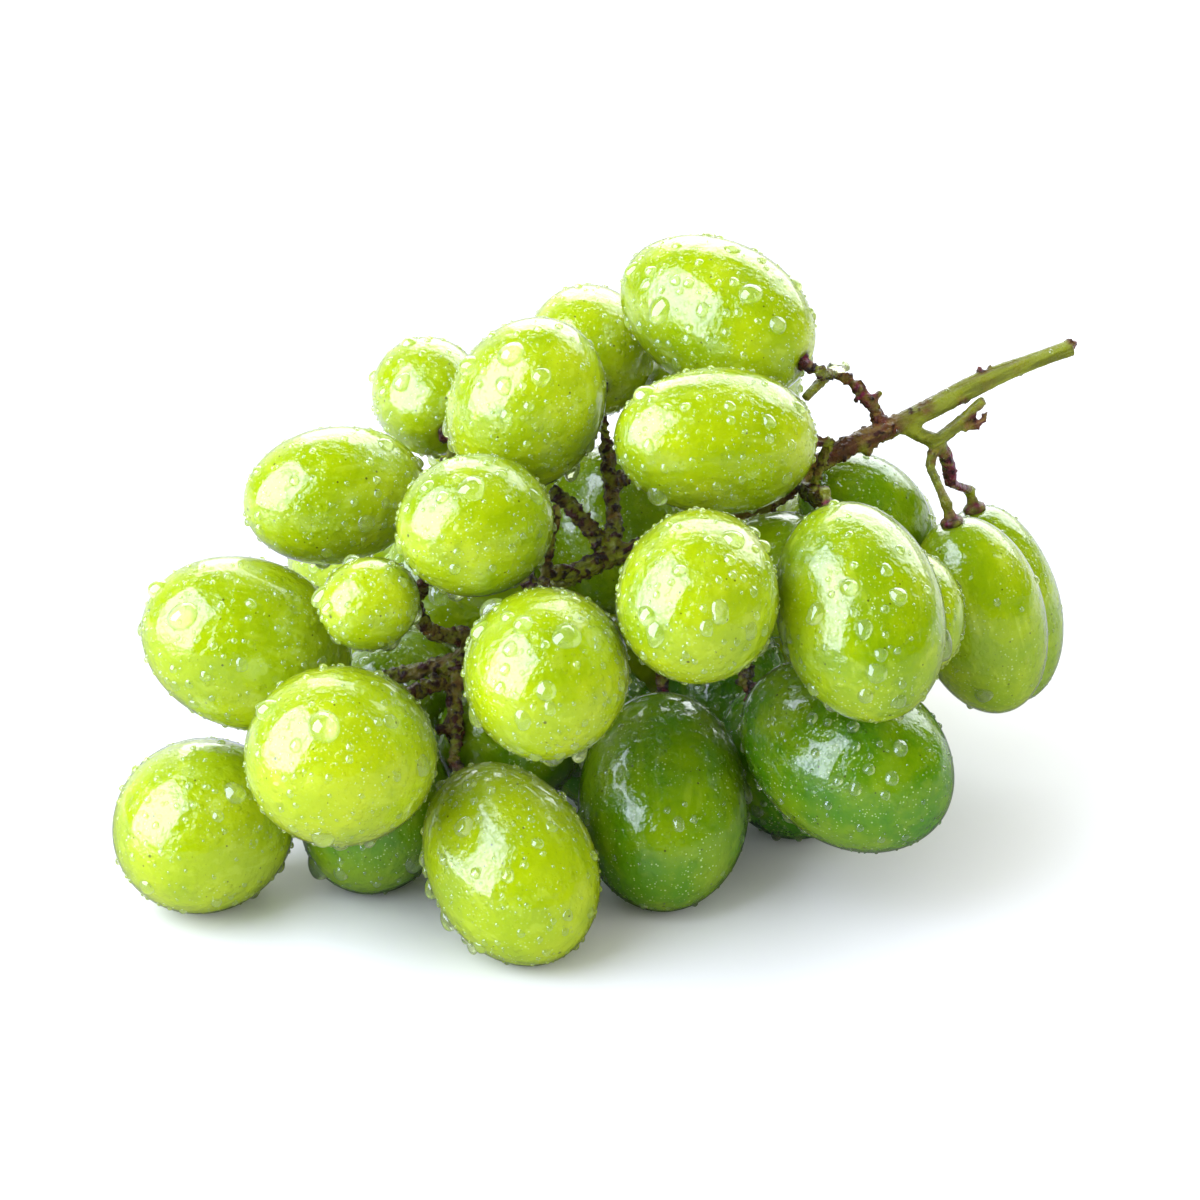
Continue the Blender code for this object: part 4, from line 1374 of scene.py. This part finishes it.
def add_area_light(name, way, distance, size, radiance, colour, mirrored):
    """A rectangular soft light of this radiance, aimed at the bunch."""
    lamp = bpy.data.lights.new(name, "AREA")
    lamp.shape = "RECTANGLE"
    lamp.size, lamp.size_y = size
    lamp.energy = radiance * math.pi * size[0] * size[1]
    lamp.color = colour
    obj = bpy.data.objects.new(name, lamp)
    obj.visible_glossy = mirrored
    obj.location = VIEW_MIDDLE + Vector(way).normalized() * distance
    bpy.context.scene.collection.objects.link(obj)
    aim(obj, VIEW_MIDDLE)


def white_world(fill):
    """White all round for plain light; what glossy things mirror is white only behind the bunch."""
    world = bpy.data.worlds.new("white_room")
    world.use_nodes = True
    tree = world.node_tree
    ground = tree.nodes["Background"]
    ground.inputs["Color"].default_value = WHITE
    rays = add_node(tree, "ShaderNodeLightPath")
    way = add_node(tree, "ShaderNodeTexCoord").outputs["Generated"]
    behind = add_node(tree, "ShaderNodeSeparateXYZ", {0: way}).outputs["Y"]
    mirrored = map_range(tree, behind, 0.45, 0.95, 0.0, 1.0)
    glossy = math_node(tree, "MINIMUM", rays.outputs["Glossy Depth"], 1.0)
    plain = times(tree, math_node(tree, "SUBTRACT", 1.0, glossy), fill)
    lit = math_node(tree, "ADD", plain, times(tree, glossy, mirrored))
    strength = larger(tree, lit, rays.outputs["Is Camera Ray"])
    tree.links.new(strength, ground.inputs["Strength"])
    bpy.context.scene.world = world


# The floor's half width and the camera's nearest distance in metres, and its sensor's width in millimetres.
FLOOR_HALF = 2.5
CLIP_START = 0.01
SENSOR_WIDTH = 36.0


class GRAPES_OT_set_stage(bpy.types.Operator):
    """Lay the floor, hang the lights and place the camera"""

    bl_idname = "grapes.set_stage"
    bl_label = "Set Stage"

    def execute(self, context):
        settings = context.scene.grape_stage
        scene = context.scene
        corners = FLOOR_HALF * np.array(((-1, -1, 0), (1, -1, 0), (1, 1, 0), (-1, 1, 0)))
        floor = new_mesh_object("floor", corners / MM, [(0, 1, 2, 3)])
        floor.data.materials.append(floor_material(settings.floor_colour))
        white_world(settings.fill)
        for name, way, distance, size, radiance, colour, mirrored in LIGHTS:
            add_area_light(name, way, distance, size, radiance * settings.light_level, colour, mirrored)
        lens = bpy.data.cameras.new("camera")
        lens.sensor_width = SENSOR_WIDTH
        lens.lens = SENSOR_WIDTH * settings.distance / settings.view_width
        lens.clip_start = CLIP_START
        camera = bpy.data.objects.new("camera", lens)
        scene.collection.objects.link(camera)
        back = Vector((0.0, -math.cos(settings.slope), math.sin(settings.slope)))
        camera.location = VIEW_MIDDLE + back * settings.distance
        aim(camera, VIEW_MIDDLE)
        scene.camera = camera
        scene.view_settings.view_transform = "Standard"
        return {"FINISHED"}


class GRAPES_PT_panel(bpy.types.Panel):
    """Everything that makes the bunch, in the sidebar"""

    bl_label = "Grapes"
    bl_idname = "GRAPES_PT_panel"
    bl_space_type = "VIEW_3D"
    bl_region_type = "UI"
    bl_category = "Grapes"

    def draw(self, context):
        layout = self.layout
        for operator, settings in OPERATORS.items():
            layout.operator(operator.bl_idname)
            group = getattr(context.scene, settings)
            for name in group.bl_rna.properties.keys():
                if name not in ("rna_type", "name"):
                    layout.prop(group, name)


OPERATORS = {
    GRAPES_OT_make_berries: "grape_berries",
    GRAPES_OT_make_stem: "grape_stem",
    GRAPES_OT_make_water: "grape_water",
    GRAPES_OT_set_stage: "grape_stage",
}
SETTINGS = {
    "grape_berries": BerrySettings,
    "grape_stem": StemSettings,
    "grape_water": WaterSettings,
    "grape_stage": StageSettings,
}


def register():
    for kind in (*SETTINGS.values(), *OPERATORS, GRAPES_PT_panel):
        bpy.utils.register_class(kind)
    for name, kind in SETTINGS.items():
        setattr(bpy.types.Scene, name, PointerProperty(type=kind))


def unregister():
    for name in SETTINGS:
        delattr(bpy.types.Scene, name)
    for kind in reversed((*SETTINGS.values(), *OPERATORS, GRAPES_PT_panel)):
        bpy.utils.unregister_class(kind)


def main():
    register()
    bpy.ops.grapes.make_berries()
    bpy.ops.grapes.make_stem()
    bpy.ops.grapes.make_water()
    bpy.ops.grapes.set_stage()


if __name__ == "__main__":
    main()
